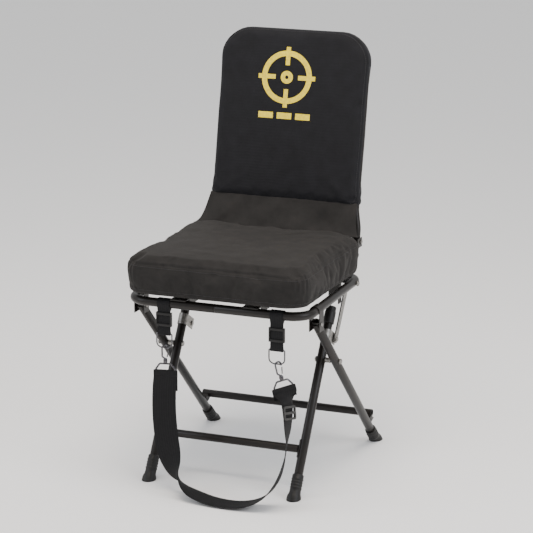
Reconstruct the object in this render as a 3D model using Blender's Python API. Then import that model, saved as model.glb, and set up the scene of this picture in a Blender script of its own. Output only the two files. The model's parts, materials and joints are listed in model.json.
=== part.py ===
"""Folding swivel chair for a hunting blind: crossed tube legs under a tube ring, a padded seat that
turns on a ball plate, a fold-down backrest and a webbing carry strap hooked to the front bar.

Metres, +Z up. The sitter faces -Y. Left and right in names are those of someone facing the chair,
so right is +X. The origin is on the floor under the middle of the chair."""

import math

import bmesh
import bpy
from mathutils import Matrix, Vector

# ---- driving dimensions -------------------------------------------------------------------
TUBE_R = 0.0095  # 19 mm leg and ring tube
WALL = 0.0012
BAR_R = 0.0085  # cross bars
GAP = 0.0003  # between solids that touch

RING_Z = 0.400
RING_FRONT_Y = -0.234
RING_REAR_Y = 0.107
RING_FRONT_X = 0.1985
RING_REAR_X = 0.191
RING_FRONT_BEND = 0.042
RING_REAR_BEND = 0.034

REAR_LEG_X = 0.197  # outer leg pair, pivots in the ears under the ring
FRONT_LEG_X = 0.165  # inner leg pair
PIVOT = Vector((0, -0.170, 0.371))  # top pivot of the rear-going legs
CROSS = Vector((0, -0.054, 0.259))  # where the legs cross
REAR_FOOT = Vector((0, 0.214, 0))
FRONT_FOOT = Vector((0, -0.214, 0))
LINK_TOP = Vector((0, 0.066, 0.399))  # locking link, upper end on the ring
LINK_LOW = Vector((0, -0.0055, 0.292))  # locking link, lower end on the front-going leg
FRONT_LEG_PAST_CROSS = 0.115

FOOT_LENGTH = 0.053
FOOT_R = 0.012
FOOT_BASE_R = 0.0152

SWIVEL = Vector((0, -0.060, 0))
RAIL_X = 0.080
RAIL_WIDTH = 0.035
PLATE_T = 0.0025
BALL_R = 0.002
BALL_PITCH_R = 0.050
BALL_COUNT = 10

SEAT_HALF_X = 0.200
SEAT_FRONT_Y = -0.258
SEAT_REAR_Y = 0.106
SEAT_HEM_Z = 0.4185
SEAT_TOP_Z = 0.5005
SEAT_LOOP_Z = 0.4495
SEAT_LOOP_X = 0.182
SEAT_LOOP_FRONT_Y = -0.236
SEAT_LOOP_REAR_Y = 0.130
SEAT_LOOP_R = 0.009

BACK_HINGE = Vector((0, 0.1445, 0.4705))
BACK_RECLINE = math.radians(11.6)
BACK_TUBE_R = 0.008
BACK_TUBE_X = 0.1635
BACK_FOOT_X = 0.171
PAD_HALF_X = 0.175
PAD_LOW = 0.074  # along the back from its hinge
PAD_HIGH = 0.4536
PAD_HALF_T = 0.018
PAD_CORNER = 0.068

STRAP_WIDTH = 0.050
STRAP_T = 0.0022
DROP_WIDTH = 0.028
DROP_T = 0.0016
HANG_Y = -0.240  # plane the strap's hardware hangs in

# where each end's hardware hangs: x at the bar, the heights of the slider and the ring, the place of
# the hook's strap eye, the hook's lean, and the turn of the hook and of its swivelling eye
HANGERS = {
    "left": {
        "x": -0.1135, "slider": 0.3670, "ring": 0.3210, "eye": (-0.1118, 0.2625),
        "lean": 0, "turn": 40, "eye_turn": 12,
    },
    "right": {
        "x": 0.1375, "slider": 0.3600, "ring": 0.3135, "eye": (0.1510, 0.2560),
        "lean": 14, "turn": 48, "eye_turn": 40,
    },
}
GATE_PIVOT = Vector((0.0040, 0, 0.0222))  # in the snap hook's own frame, up from the strap eye

# the frame is drawn about a datum midway between the feet; the origin is under the middle of the
# whole chair, strap included
DATUM = Vector((0, 0.036, 0))

SIDES = (("left", -1), ("right", 1))
BIG_SIDES = 16  # facets round a frame tube
SMALL_SIDES = 12

for old in list(bpy.data.objects):
    bpy.data.objects.remove(old, do_unlink=True)


# ---- finishes -----------------------------------------------------------------------------
def finish(name, rgb, roughness, metallic=0.0):
    """A plain Principled material; rgb is linear."""
    made = bpy.data.materials.new(name)
    made.use_nodes = True
    shader = made.node_tree.nodes["Principled BSDF"]
    shader.inputs["Base Color"].default_value = (*rgb, 1)
    shader.inputs["Roughness"].default_value = roughness
    shader.inputs["Metallic"].default_value = metallic
    made.diffuse_color = (*rgb, 1)
    return made


POWDER = finish("powder_coat", (0.024, 0.021, 0.019), 0.42)
ZINC = finish("zinc_steel", (0.30, 0.30, 0.31), 0.38, 1.0)
GUNMETAL = finish("gunmetal", (0.055, 0.055, 0.058), 0.35, 1.0)
PLASTIC = finish("black_plastic", (0.012, 0.012, 0.012), 0.45)
BACK_CLOTH = finish("back_cloth", (0.012, 0.012, 0.015), 0.85)
SEAT_CLOTH = finish("seat_cloth", (0.035, 0.032, 0.030), 0.85)
FOAM = finish("foam", (0.55, 0.53, 0.47), 0.9)
BOARD = finish("board", (0.36, 0.25, 0.15), 0.7)
WEBBING = finish("webbing", (0.010, 0.010, 0.011), 0.8)
STEEL = finish("ball_steel", (0.60, 0.60, 0.61), 0.2, 1.0)


def hook_frame(hang, swivel="turn"):
    """The place and turn of a snap hook, whose origin is the middle of its strap eye."""
    tip = Matrix.Rotation(math.radians(-hang["lean"]), 4, "Y")
    turn = Matrix.Rotation(math.radians(hang[swivel]), 4, "Z")
    return Matrix.Translation((hang["eye"][0], HANG_Y, hang["eye"][1])) @ tip @ turn


# ---- bodies: one empty on each joint axis ---------------------------------------------------
BODY_AT = {
    "base_ring": Vector((0, 0, 0)),
    "rear_legs": PIVOT,
    "front_legs": CROSS,
    "left_link": LINK_TOP,
    "right_link": LINK_TOP,
    "seat": SWIVEL,
    "backrest": BACK_HINGE,
    "carry_strap": Vector((0, RING_FRONT_Y, RING_Z)),
    "left_gate": hook_frame(HANGERS["left"]) @ GATE_PIVOT,
    "right_gate": hook_frame(HANGERS["right"]) @ GATE_PIVOT,
}
datum_empty = bpy.data.objects.new("datum", None)
datum_empty.location = DATUM
bpy.context.scene.collection.objects.link(datum_empty)
AXES = {}
for body_name, body_at in BODY_AT.items():
    axis_empty = bpy.data.objects.new(body_name + "_axis", None)
    axis_empty.location = body_at
    axis_empty.parent = datum_empty
    bpy.context.scene.collection.objects.link(axis_empty)
    AXES[body_name] = axis_empty
AXES["backrest"].rotation_euler.x = -BACK_RECLINE


def add(name, mesh, look, body, at=(0, 0, 0), turn=(0, 0, 0)):
    """Puts a mesh in the scene as one sub-part. The backrest's pieces give their place in the
    backrest's own leaning frame, all others in the chair's frame."""
    piece = bpy.data.objects.new(name, mesh)
    mesh.materials.append(look)
    bpy.context.scene.collection.objects.link(piece)
    piece.parent = AXES[body]
    offset = Vector((0, 0, 0)) if body == "backrest" else BODY_AT[body]
    piece.location = Vector(at) - offset
    piece.rotation_euler = turn
    mesh.shade_smooth()
    mesh.set_sharp_from_angle(angle=math.radians(38))
    return piece


def cutter(name, mesh, body, at=(0, 0, 0), turn=(0, 0, 0)):
    tool = bpy.data.objects.new(name, mesh)
    bpy.context.scene.collection.objects.link(tool)
    tool.parent = AXES[body]
    offset = Vector((0, 0, 0)) if body == "backrest" else BODY_AT[body]
    tool.location = Vector(at) - offset
    tool.rotation_euler = turn
    tool.hide_render = True
    tool.display_type = "WIRE"
    return tool


def boolean(piece, tool, operation="DIFFERENCE"):
    step = piece.modifiers.new(operation.lower(), "BOOLEAN")
    step.operation = operation
    step.solver = "EXACT"
    step.object = tool


# ---- shapes ---------------------------------------------------------------------------------
def to_mesh(bm, name="shape"):
    bmesh.ops.recalc_face_normals(bm, faces=bm.faces)
    mesh = bpy.data.meshes.new(name)
    bm.to_mesh(mesh)
    bm.free()
    return mesh


def joined(meshes):
    """Several closed shapes in one mesh."""
    bm = bmesh.new()
    for mesh in meshes:
        bm.from_mesh(mesh)
    result = bpy.data.meshes.new("group")
    bm.to_mesh(result)
    bm.free()
    return result


def moved(mesh, matrix):
    mesh.transform(matrix)
    return mesh


def block(size, centre=(0, 0, 0)):
    bm = bmesh.new()
    bmesh.ops.create_cube(bm, size=1.0)
    bmesh.ops.scale(bm, vec=size, verts=bm.verts)
    bmesh.ops.translate(bm, vec=centre, verts=bm.verts)
    return to_mesh(bm)


def rod(radius, low, high, sides=SMALL_SIDES, axis="X", centre=(0, 0, 0)):
    """A cylinder along an axis, from low to high."""
    bm = bmesh.new()
    bmesh.ops.create_cone(bm, cap_ends=True, segments=sides, radius1=radius, radius2=radius, depth=high - low)
    bmesh.ops.translate(bm, vec=(0, 0, (low + high) / 2), verts=bm.verts)
    if axis == "X":
        bmesh.ops.rotate(bm, matrix=Matrix.Rotation(math.pi / 2, 3, "Y"), verts=bm.verts)
    if axis == "Y":
        bmesh.ops.rotate(bm, matrix=Matrix.Rotation(-math.pi / 2, 3, "X"), verts=bm.verts)
    bmesh.ops.translate(bm, vec=centre, verts=bm.verts)
    return to_mesh(bm)


def turned(profile, sides=24, axis="Z"):
    """A turned solid from (radius, height) points, closed on itself or on the axis."""
    bm = bmesh.new()
    verts = [bm.verts.new((r, 0, z)) for r, z in profile]
    edges = [bm.edges.new(pair) for pair in zip(verts, verts[1:])]
    if profile[0][0] > 0:
        edges.append(bm.edges.new((verts[-1], verts[0])))
    bmesh.ops.spin(bm, geom=verts + edges, axis=(0, 0, 1), cent=(0, 0, 0), steps=sides, angle=2 * math.pi)
    bmesh.ops.remove_doubles(bm, verts=bm.verts, dist=1e-6)
    if axis == "X":
        bmesh.ops.rotate(bm, matrix=Matrix.Rotation(math.pi / 2, 3, "Y"), verts=bm.verts)
    return to_mesh(bm)


def prism(outline, low, high, plane="YZ"):
    """An outline pushed out from low to high: YZ along X, XZ along Y, XY along Z."""
    place = {
        "YZ": lambda a, b, c: (c, a, b),
        "XZ": lambda a, b, c: (a, c, b),
        "XY": lambda a, b, c: (a, b, c),
    }[plane]
    bm = bmesh.new()
    face = bm.faces.new([bm.verts.new(place(a, b, low)) for a, b in outline])
    pushed = bmesh.ops.extrude_face_region(bm, geom=[face])["geom"]
    verts = [item for item in pushed if isinstance(item, bmesh.types.BMVert)]
    bmesh.ops.translate(bm, vec=place(0, 0, high - low), verts=verts)
    return to_mesh(bm)


def loft(rings):
    """A closed solid through rings of the same number of points."""
    bm = bmesh.new()
    rows = [[bm.verts.new(point) for point in ring] for ring in rings]
    for lower, upper in zip(rows, rows[1:]):
        for i in range(len(lower)):
            j = (i + 1) % len(lower)
            bm.faces.new((lower[i], lower[j], upper[j], upper[i]))
    bm.faces.new(list(reversed(rows[0])))
    bm.faces.new(rows[-1])
    return to_mesh(bm)


def arc(centre, radius, start, end, steps):
    """Points on an arc, angles in degrees."""
    return [
        (
            centre[0] + radius * math.cos(math.radians(start + (end - start) * i / steps)),
            centre[1] + radius * math.sin(math.radians(start + (end - start) * i / steps)),
        )
        for i in range(steps + 1)
    ]


def round_rect(x0, x1, y0, y1, radius, steps=5):
    return (
        arc((x1 - radius, y0 + radius), radius, -90, 0, steps)
        + arc((x1 - radius, y1 - radius), radius, 0, 90, steps)
        + arc((x0 + radius, y1 - radius), radius, 90, 180, steps)
        + arc((x0 + radius, y0 + radius), radius, 180, 270, steps)
    )


def bent_path(corners, radius, steps=5):
    """A polyline through 3-D corners with each inner corner rounded to the radius."""
    radii = radius if isinstance(radius, (list, tuple)) else [radius] * (len(corners) - 2)
    corners = [Vector(c) for c in corners]
    path = [corners[0]]
    for before, corner, after, r in zip(corners, corners[1:], corners[2:], radii):
        into = (before - corner).normalized()
        out = (after - corner).normalized()
        half = into.angle(out) / 2
        reach = r / math.tan(half)
        centre = corner + (into + out).normalized() * (r / math.sin(half))
        first = corner + into * reach - centre
        last = corner + out * reach - centre
        sweep = first.angle(last)
        for i in range(steps + 1):
            t = i / steps
            a = math.sin((1 - t) * sweep) / math.sin(sweep)
            b = math.sin(t * sweep) / math.sin(sweep)
            path.append(centre + first * a + last * b)
    path.append(corners[-1])
    return path


def pipe(points, radius, sides=BIG_SIDES, cyclic=False, hollow=False):
    """A tube surface along points, from a bevelled curve; a hollow one is left open for its wall."""
    curve = bpy.data.curves.new("pipe", "CURVE")
    curve.dimensions = "3D"
    curve.twist_mode = "MINIMUM"
    curve.bevel_depth = radius
    curve.bevel_resolution = (sides - 4) // 2
    curve.use_fill_caps = not hollow and not cyclic
    spline = curve.splines.new("POLY")
    spline.points.add(len(points) - 1)
    for spot, point in zip(spline.points, points):
        spot.co = (*point, 1)
    spline.use_cyclic_u = cyclic
    holder = bpy.data.objects.new("pipe", curve)
    mesh = bpy.data.meshes.new_from_object(holder)
    bpy.data.objects.remove(holder)
    bm = bmesh.new()
    bm.from_mesh(mesh)
    bmesh.ops.remove_doubles(bm, verts=bm.verts, dist=1e-6)
    bmesh.ops.recalc_face_normals(bm, faces=bm.faces)
    bm.to_mesh(mesh)
    bm.free()
    mesh.materials.clear()
    return mesh


def give_wall(piece, wall=WALL):
    step = piece.modifiers.new("wall", "SOLIDIFY")
    step.thickness = wall
    step.offset = -1


def mirrored_to(s, mesh):
    """Turns a right-hand piece that lies along +X round to the left-hand side."""
    if s < 0:
        mesh.transform(Matrix.Rotation(math.pi, 4, "Z"))
    return mesh


def lean(direction):
    """The turn about X that points local +Z along a direction in the YZ plane."""
    return math.atan2(-direction.y, direction.z)


# ---- ring, ears, rails ------------------------------------------------------------------------
def rail_x(y):
    """The side rail's centre line, which tapers towards the rear."""
    share = (y - RING_FRONT_Y) / (RING_REAR_Y - RING_FRONT_Y)
    return RING_FRONT_X + (RING_REAR_X - RING_FRONT_X) * share


def build_ring():
    seam = 0.0004
    corners = [
        (seam, RING_FRONT_Y, RING_Z),
        (RING_FRONT_X, RING_FRONT_Y, RING_Z),
        (RING_REAR_X, RING_REAR_Y, RING_Z),
        (-RING_REAR_X, RING_REAR_Y, RING_Z),
        (-RING_FRONT_X, RING_FRONT_Y, RING_Z),
        (-seam, RING_FRONT_Y, RING_Z),
    ]
    bends = [RING_FRONT_BEND, RING_REAR_BEND, RING_REAR_BEND, RING_FRONT_BEND]
    ring = add("ring_tube", pipe(bent_path(corners, bends), TUBE_R, hollow=True), POWDER, "base_ring")
    give_wall(ring)
    holes = [rod(0.0033, s * rail_x(LINK_TOP.y) - 0.02, s * rail_x(LINK_TOP.y) + 0.02) for _, s in SIDES]
    boolean(ring, cutter("ring_holes", joined(holes), "base_ring", LINK_TOP))
    dowel = rod(TUBE_R - WALL - GAP, -0.03, 0.03, 16)
    add("ring_joint_dowel", dowel, ZINC, "base_ring", (0, RING_FRONT_Y, RING_Z))


def build_ears():
    """Folded sheet saddles over the side rails; the outer legs pivot between their ears."""
    inner = TUBE_R + 0.0006
    outer = inner + 0.0016
    half_length = 0.0125
    drop = 0.044
    section = (
        [(outer, -drop)]
        + arc((0, 0), outer, 0, 180, 10)
        + [(-outer, -drop), (-inner, -drop)]
        + arc((0, 0), inner, 180, 0, 10)
        + [(inner, -drop)]
    )
    reach = outer + 0.0024
    pin = 0.0028
    rivet = [(0, -reach), (0.0035, -reach), (0.0055, -outer - GAP), (pin, -outer - GAP),
             (pin, outer + GAP), (0.0055, outer + GAP), (0.0035, reach), (0, reach)]
    for side, s in SIDES:
        x = s * rail_x(PIVOT.y)
        saddle = prism(section, -half_length, half_length, "XZ")
        ear = add(f"ear_bracket_{side}", saddle, POWDER, "base_ring", (x, PIVOT.y, RING_Z))
        hole = cutter(f"ear_hole_{side}", rod(pin + GAP, -0.02, 0.02), "base_ring", (x, PIVOT.y, PIVOT.z))
        boolean(ear, hole)
        add(f"ear_rivet_{side}", turned(rivet, SMALL_SIDES, "X"), ZINC, "base_ring", (x, PIVOT.y, PIVOT.z))


def build_rails():
    top = RING_Z + TUBE_R + GAP
    thick = 0.003
    half = RAIL_WIDTH / 2
    fold = 0.002
    depth = 0.012
    section = [
        (-half, -depth), (-half + fold, -depth), (-half + fold, 0), (half - fold, 0),
        (half - fold, -depth), (half, -depth), (half, thick), (-half, thick),
    ]
    front = RING_FRONT_Y + TUBE_R + 0.001
    rear = RING_REAR_Y - TUBE_R - 0.001
    over = 0.011
    length = rear - front + 2 * (TUBE_R + 0.001 + over)
    for side, s in SIDES:
        at = (s * RAIL_X, 0, top)
        rail = add(f"cross_rail_{side}", prism(section, front, rear, "XZ"), POWDER, "base_ring", at)
        tongue = block((RAIL_WIDTH, length, thick), (0, (front + rear) / 2, thick / 2))
        boolean(rail, cutter(f"rail_tongue_{side}", tongue, "base_ring", at), "UNION")


def build_stops():
    """Hangers over the rails with two cheeks. The inner legs' wide caps come to rest against the
    cheeks' front edges, and the folded legs' narrower tubes lie between them."""
    top = RING_Z + TUBE_R + GAP
    centre = rail_x(0.0275)
    slot = TUBE_R + GAP
    cheek = slot + 0.002
    low = 0.362
    roof = PIVOT.z + TUBE_R + 0.0015
    leg = FRONT_LEG_X
    outline = [
        (centre + 0.001, top), (centre + 0.001, top + 0.002), (leg - cheek, top + 0.002),
        (leg - cheek, low), (leg - slot, low), (leg - slot, roof), (leg + slot, roof),
        (leg + slot, low), (leg + cheek, low), (leg + cheek, top),
    ]
    for side, s in SIDES:
        stop = prism([(s * x, z) for x, z in outline], 0.0190, 0.0365, "XZ")
        add(f"stop_hanger_{side}", stop, POWDER, "base_ring")


# ---- turning plate ------------------------------------------------------------------------------
def build_swivel():
    """A ball plate: the lower plate with its kingpin, a caged ring of balls and the upper plate.
    Returns the height that the seat board rests at."""
    lower = RING_Z + TUBE_R + GAP + 0.003 + GAP
    upper = lower + PLATE_T + 2 * BALL_R + 0.0004
    head = upper + PLATE_T + GAP
    lower_plate = add(
        "swivel_lower_plate",
        prism(round_rect(-0.098, 0.098, -0.075, 0.075, 0.012, 3), lower, lower + PLATE_T, "XY"),
        ZINC, "base_ring", SWIVEL,
    )
    kingpin = turned(
        [(0, lower + 0.001), (0.005, lower + 0.001), (0.005, head), (0.009, head), (0.0075, head + 0.0016),
         (0, head + 0.0016)],
        16,
    )
    boolean(lower_plate, cutter("kingpin", kingpin, "base_ring", SWIVEL), "UNION")

    middle = SWIVEL + Vector((0, 0, lower + PLATE_T + 0.0002 + BALL_R))
    wide, tall = 0.0052, 0.0006
    ring = [
        (BALL_PITCH_R - wide, -tall), (BALL_PITCH_R + wide, -tall),
        (BALL_PITCH_R + wide, tall), (BALL_PITCH_R - wide, tall),
    ]
    race = add("ball_ring", turned(ring, 30), STEEL, "base_ring", middle)
    balls = []
    for i in range(BALL_COUNT):
        turn = 2 * math.pi * i / BALL_COUNT
        bm = bmesh.new()
        bmesh.ops.create_uvsphere(bm, u_segments=6, v_segments=5, radius=BALL_R)
        spot = (BALL_PITCH_R * math.cos(turn), BALL_PITCH_R * math.sin(turn), 0)
        bmesh.ops.translate(bm, vec=spot, verts=bm.verts)
        balls.append(to_mesh(bm))
    boolean(race, cutter("balls", joined(balls), "base_ring", middle), "UNION")

    upper_plate = add(
        "swivel_upper_plate",
        prism(round_rect(-0.075, 0.075, -0.075, 0.075, 0.012, 3), upper, upper + PLATE_T, "XY"),
        ZINC, "seat", SWIVEL,
    )
    king_hole = rod(0.0054, upper - 0.01, upper + 0.01, 16, "Z")
    boolean(upper_plate, cutter("king_hole", king_hole, "seat", SWIVEL))
    return upper + PLATE_T + GAP


# ---- seat -----------------------------------------------------------------------------------------
def build_seat(pan_z):
    pan_t = 0.010
    outline = round_rect(-0.184, 0.184, -0.240, 0.112, 0.030, 4)
    pan = add("seat_board", prism(outline, 0, pan_t, "XY"), BOARD, "seat", (0, 0, pan_z))
    hole = rod(0.012, -0.02, 0.02, 16, "Z", (0, SWIVEL.y, 0))
    boolean(pan, cutter("board_hole", hole, "seat", (0, 0, pan_z)))

    x, y0, y1, z = SEAT_LOOP_X, SEAT_LOOP_FRONT_Y, SEAT_LOOP_REAR_Y, SEAT_LOOP_Z
    weld = 0.0004
    corners = [(weld, y0, z), (x, y0, z), (x, y1, z), (-x, y1, z), (-x, y0, z), (-weld, y0, z)]
    loop = add("seat_frame", pipe(bent_path(corners, 0.030, 4), SEAT_LOOP_R, 12, hollow=True), POWDER, "seat")
    give_wall(loop)
    foam_low = pan_z + pan_t + GAP
    foam_rings = []
    for z, inset in ((foam_low, 0.004), (0.445, 0), (0.478, 0), (0.4885, 0.010), (0.4935, 0.028)):
        ring = round_rect(-0.171 + inset, 0.171 - inset, -0.2245 + inset, 0.098 - inset, 0.030, 3)
        foam_rings.append([(px, py, z) for px, py in ring])
    add("seat_foam", loft(foam_rings), FOAM, "seat")

    def shell(levels):
        rings = []
        for z, inset in levels:
            ring = round_rect(
                -SEAT_HALF_X + inset, SEAT_HALF_X - inset, SEAT_FRONT_Y + inset, SEAT_REAR_Y - inset * 0.5,
                0.034, 4,
            )
            rings.append([(px, py, z) for px, py in ring])
        return loft(rings)

    outer = [(SEAT_HEM_Z, 0.006), (0.440, 0.001), (0.462, 0), (0.478, 0.0025), (0.490, 0.011), (0.4968, 0.030),
             (SEAT_TOP_Z, 0.075)]
    inner = [(SEAT_HEM_Z - 0.005, 0.0095), (0.440, 0.0055), (0.462, 0.0045), (0.476, 0.0065), (0.4866, 0.014),
             (0.4934, 0.032), (0.4960, 0.075)]
    cover = add("seat_cover", shell(outer), SEAT_CLOTH, "seat")
    boolean(cover, cutter("cover_hollow", shell(inner), "seat"))
    rear_low = SEAT_LOOP_Z + SEAT_LOOP_R + 0.001
    notch_rear = block((0.5, 0.06, 0.1), (0, 0.081 + 0.03, rear_low - 0.05))
    boolean(cover, cutter("cover_rear_notch", notch_rear, "seat"))

    foot = Vector((0, 0.110, 0.489))
    head = Vector((0, 0.1385, 0.540))
    sheet = block((0.366, 0.003, (head - foot).length))
    add("gusset", sheet, SEAT_CLOTH, "seat", (foot + head) / 2, (lean(head - foot), 0, 0))


# ---- backrest, in its own leaning frame with the hinge at the origin --------------------------------
def build_back():
    half = BACK_TUBE_R + 0.0005
    out = half + 0.0016
    low = SEAT_LOOP_Z + SEAT_LOOP_R + 0.0006
    top = BACK_HINGE.z + 0.009
    section = [(-out, low), (out, low), (out, top), (half, top), (half, low + 0.0016),
               (-half, low + 0.0016), (-half, top), (-out, top)]
    reach = out + 0.003
    pin = 0.0028
    bolt = [(0, -reach), (0.0052, -reach), (0.0052, -out - GAP), (pin, -out - GAP), (pin, out + GAP),
            (0.0052, out + GAP), (0.0052, reach - 0.0006), (0.0044, reach), (0, reach)]
    for side, s in SIDES:
        at = Vector((s * BACK_FOOT_X, BACK_HINGE.y, BACK_HINGE.z))
        shape = prism(section, BACK_HINGE.y - 0.0185, BACK_HINGE.y + 0.009, "XZ")
        clevis = add(f"hinge_clevis_{side}", shape, POWDER, "seat", (at.x, 0, 0))
        boolean(clevis, cutter(f"clevis_hole_{side}", rod(pin + GAP, -0.02, 0.02), "seat", at))
        add(f"hinge_bolt_{side}", turned(bolt, SMALL_SIDES, "X"), ZINC, "seat", at)

    high = PAD_HIGH - 0.003 - BACK_TUBE_R - 0.0012
    corners = []
    for _, s in SIDES:
        leg = [(s * BACK_FOOT_X, 0, -0.004), (s * BACK_FOOT_X, 0, 0.028), (s * BACK_TUBE_X, 0, 0.068),
               (s * BACK_TUBE_X, 0, high)]
        corners += leg if s < 0 else list(reversed(leg))
    bends = [0.06, 0.06, 0.058, 0.058, 0.06, 0.06]
    frame = add("back_frame", pipe(bent_path(corners, bends, 4), BACK_TUBE_R, 12, hollow=True), POWDER, "backrest")
    give_wall(frame)
    holes = [rod(0.0031, s * BACK_FOOT_X - 0.02, s * BACK_FOOT_X + 0.02) for _, s in SIDES]
    boolean(frame, cutter("frame_holes", joined(holes), "backrest"))

    def slab(half_x, low, high, corner, depths):
        rings = []
        for y, inset in depths:
            foot = 0.014
            ring = (
                arc((half_x - inset - foot, low + inset + foot), foot, -90, 0, 3)
                + arc((half_x - inset - corner, high - inset - corner), corner, 0, 90, 8)
                + arc((-half_x + inset + corner, high - inset - corner), corner, 90, 180, 8)
                + arc((-half_x + inset + foot, low + inset + foot), foot, 180, 270, 3)
            )
            rings.append([(px, y, pz) for px, pz in ring])
        return loft(rings)

    t = PAD_HALF_T
    outside = [(-t, 0.007), (-t + 0.004, 0.001), (-t + 0.009, 0), (t - 0.009, 0), (t - 0.004, 0.001), (t, 0.007)]
    cover = add("back_cover", slab(PAD_HALF_X, PAD_LOW, PAD_HIGH, PAD_CORNER, outside), BACK_CLOTH, "backrest")
    inside = [(-t + 0.003, 0.0045), (-t + 0.008, 0), (t - 0.008, 0), (t - 0.003, 0.0045)]
    hollow = slab(PAD_HALF_X - 0.003, PAD_LOW - 0.02, PAD_HIGH - 0.003, PAD_CORNER - 0.003, inside)
    boolean(cover, cutter("back_hollow", hollow, "backrest"))
    # the foam fills the cover between the tubes
    foam_half = BACK_TUBE_X - BACK_TUBE_R - 0.003
    foam_high = high - BACK_TUBE_R - 0.001
    depths = [(-0.0142, 0.004), (-0.010, 0), (0.010, 0), (0.0142, 0.004)]
    foam = slab(foam_half, PAD_LOW + 0.004, foam_high, PAD_CORNER - 0.012, depths)
    add("back_foam", foam, FOAM, "backrest")


# ---- legs ---------------------------------------------------------------------------------------------
def foot_mesh(tilt):
    """A moulded foot over a leg's end, cut flat where the tilted leg meets the floor."""
    socket = TUBE_R + GAP
    profile = [
        (0, -0.014), (FOOT_BASE_R, -0.014), (FOOT_BASE_R, 0.004), (FOOT_R + 0.0006, 0.012), (FOOT_R, 0.020),
        (FOOT_R, FOOT_LENGTH - 0.0012), (FOOT_R - 0.0008, FOOT_LENGTH), (socket, FOOT_LENGTH), (socket, 0.0145),
        (0, 0.0145),
    ]
    mesh = turned(profile, BIG_SIDES)
    bm = bmesh.new()
    bm.from_mesh(mesh)
    down = Vector((0, math.sin(-tilt), -math.cos(tilt)))
    cut = bmesh.ops.bisect_plane(
        bm, geom=bm.verts[:] + bm.edges[:] + bm.faces[:], plane_co=(0, 0, 0), plane_no=down, clear_outer=True
    )
    rim = [item for item in cut["geom_cut"] if isinstance(item, bmesh.types.BMEdge)]
    bmesh.ops.edgeloop_fill(bm, edges=rim)
    return to_mesh(bm)


def leg_tube(name, body, foot, top, x, holes):
    """A straight leg with cross holes given as distances up from the foot."""
    way = (top - foot).normalized()
    length = (top - foot).length
    piece = add(
        name, pipe([(0, 0, 0.0155), (0, 0, length)], TUBE_R, hollow=True), POWDER, body,
        foot + Vector((x, 0, 0)), (lean(way), 0, 0),
    )
    give_wall(piece)
    drills = [rod(0.0033, -0.02, 0.02, SMALL_SIDES, "X", (0, 0, h)) for h in holes]
    tool = cutter(name + "_holes", joined(drills), body, foot + Vector((x, 0, 0)), (lean(way), 0, 0))
    boolean(piece, tool)


def build_rear_legs():
    way = (PIVOT - REAR_FOOT).normalized()
    top = PIVOT + way * 0.0075
    tilt = lean(way)
    inner = FRONT_LEG_X - TUBE_R - GAP
    outer = REAR_LEG_X + TUBE_R + GAP
    low = FRONT_LEG_X + TUBE_R + GAP
    high = REAR_LEG_X - TUBE_R - GAP
    # a shouldered bolt: its thick middle keeps the two legs apart
    bolt = [(0, inner - 0.0034), (0.0045, inner - 0.0034), (0.0062, inner - 0.0018), (0.0062, inner),
            (0.0030, inner), (0.0030, low), (0.0056, low), (0.0056, high), (0.0030, high), (0.0030, outer),
            (0.0062, outer), (0.0062, outer + 0.0028), (0.0045, outer + 0.0042), (0, outer + 0.0042)]
    drilled = [(CROSS - REAR_FOOT).length, (PIVOT - REAR_FOOT).length]
    for side, s in SIDES:
        foot = REAR_FOOT + Vector((s * REAR_LEG_X, 0, 0))
        leg_tube(f"rear_leg_{side}", "rear_legs", REAR_FOOT, top, s * REAR_LEG_X, drilled)
        add(f"rear_foot_{side}", foot_mesh(tilt), PLASTIC, "rear_legs", foot, (tilt, 0, 0))
        shape = mirrored_to(s, turned(bolt, SMALL_SIDES, "X"))
        add(f"cross_bolt_{side}", shape, ZINC, "rear_legs", CROSS)

    # the rear bar lies on the legs' upper side on welded blocks, so that the inner legs fold past it
    up_foot = 0.0845
    lift = 0.024
    normal = Vector((0, way.z, -way.y))
    spot = REAR_FOOT + way * up_foot + normal * lift
    half = REAR_LEG_X + 0.006
    bar = add("rear_crossbar", pipe([(-half, 0, 0), (half, 0, 0)], BAR_R, 16, hollow=True), POWDER, "rear_legs", spot)
    give_wall(bar)
    base = TUBE_R + 0.0004
    saddle = arc((0, 0), base, 45, 135, 6) + [(-0.0095, lift - BAR_R + 0.002), (0.0095, lift - BAR_R + 0.002)]
    blocks = [
        moved(prism([(a, b) for a, b in saddle], -0.009, 0.009, "XZ"), Matrix.Translation((s * REAR_LEG_X, 0, 0)))
        for _, s in SIDES
    ]
    core = rod(BAR_R - WALL / 2, -half - 0.01, half + 0.01, 16, "X", (0, 0, lift))
    at = REAR_FOOT + way * up_foot
    group = cutter("bar_blocks", joined(blocks), "rear_legs", at, (lean(normal), 0, 0))
    boolean(group, cutter("bar_core", core, "rear_legs", at, (lean(normal), 0, 0)))
    boolean(bar, group, "UNION")


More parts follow.
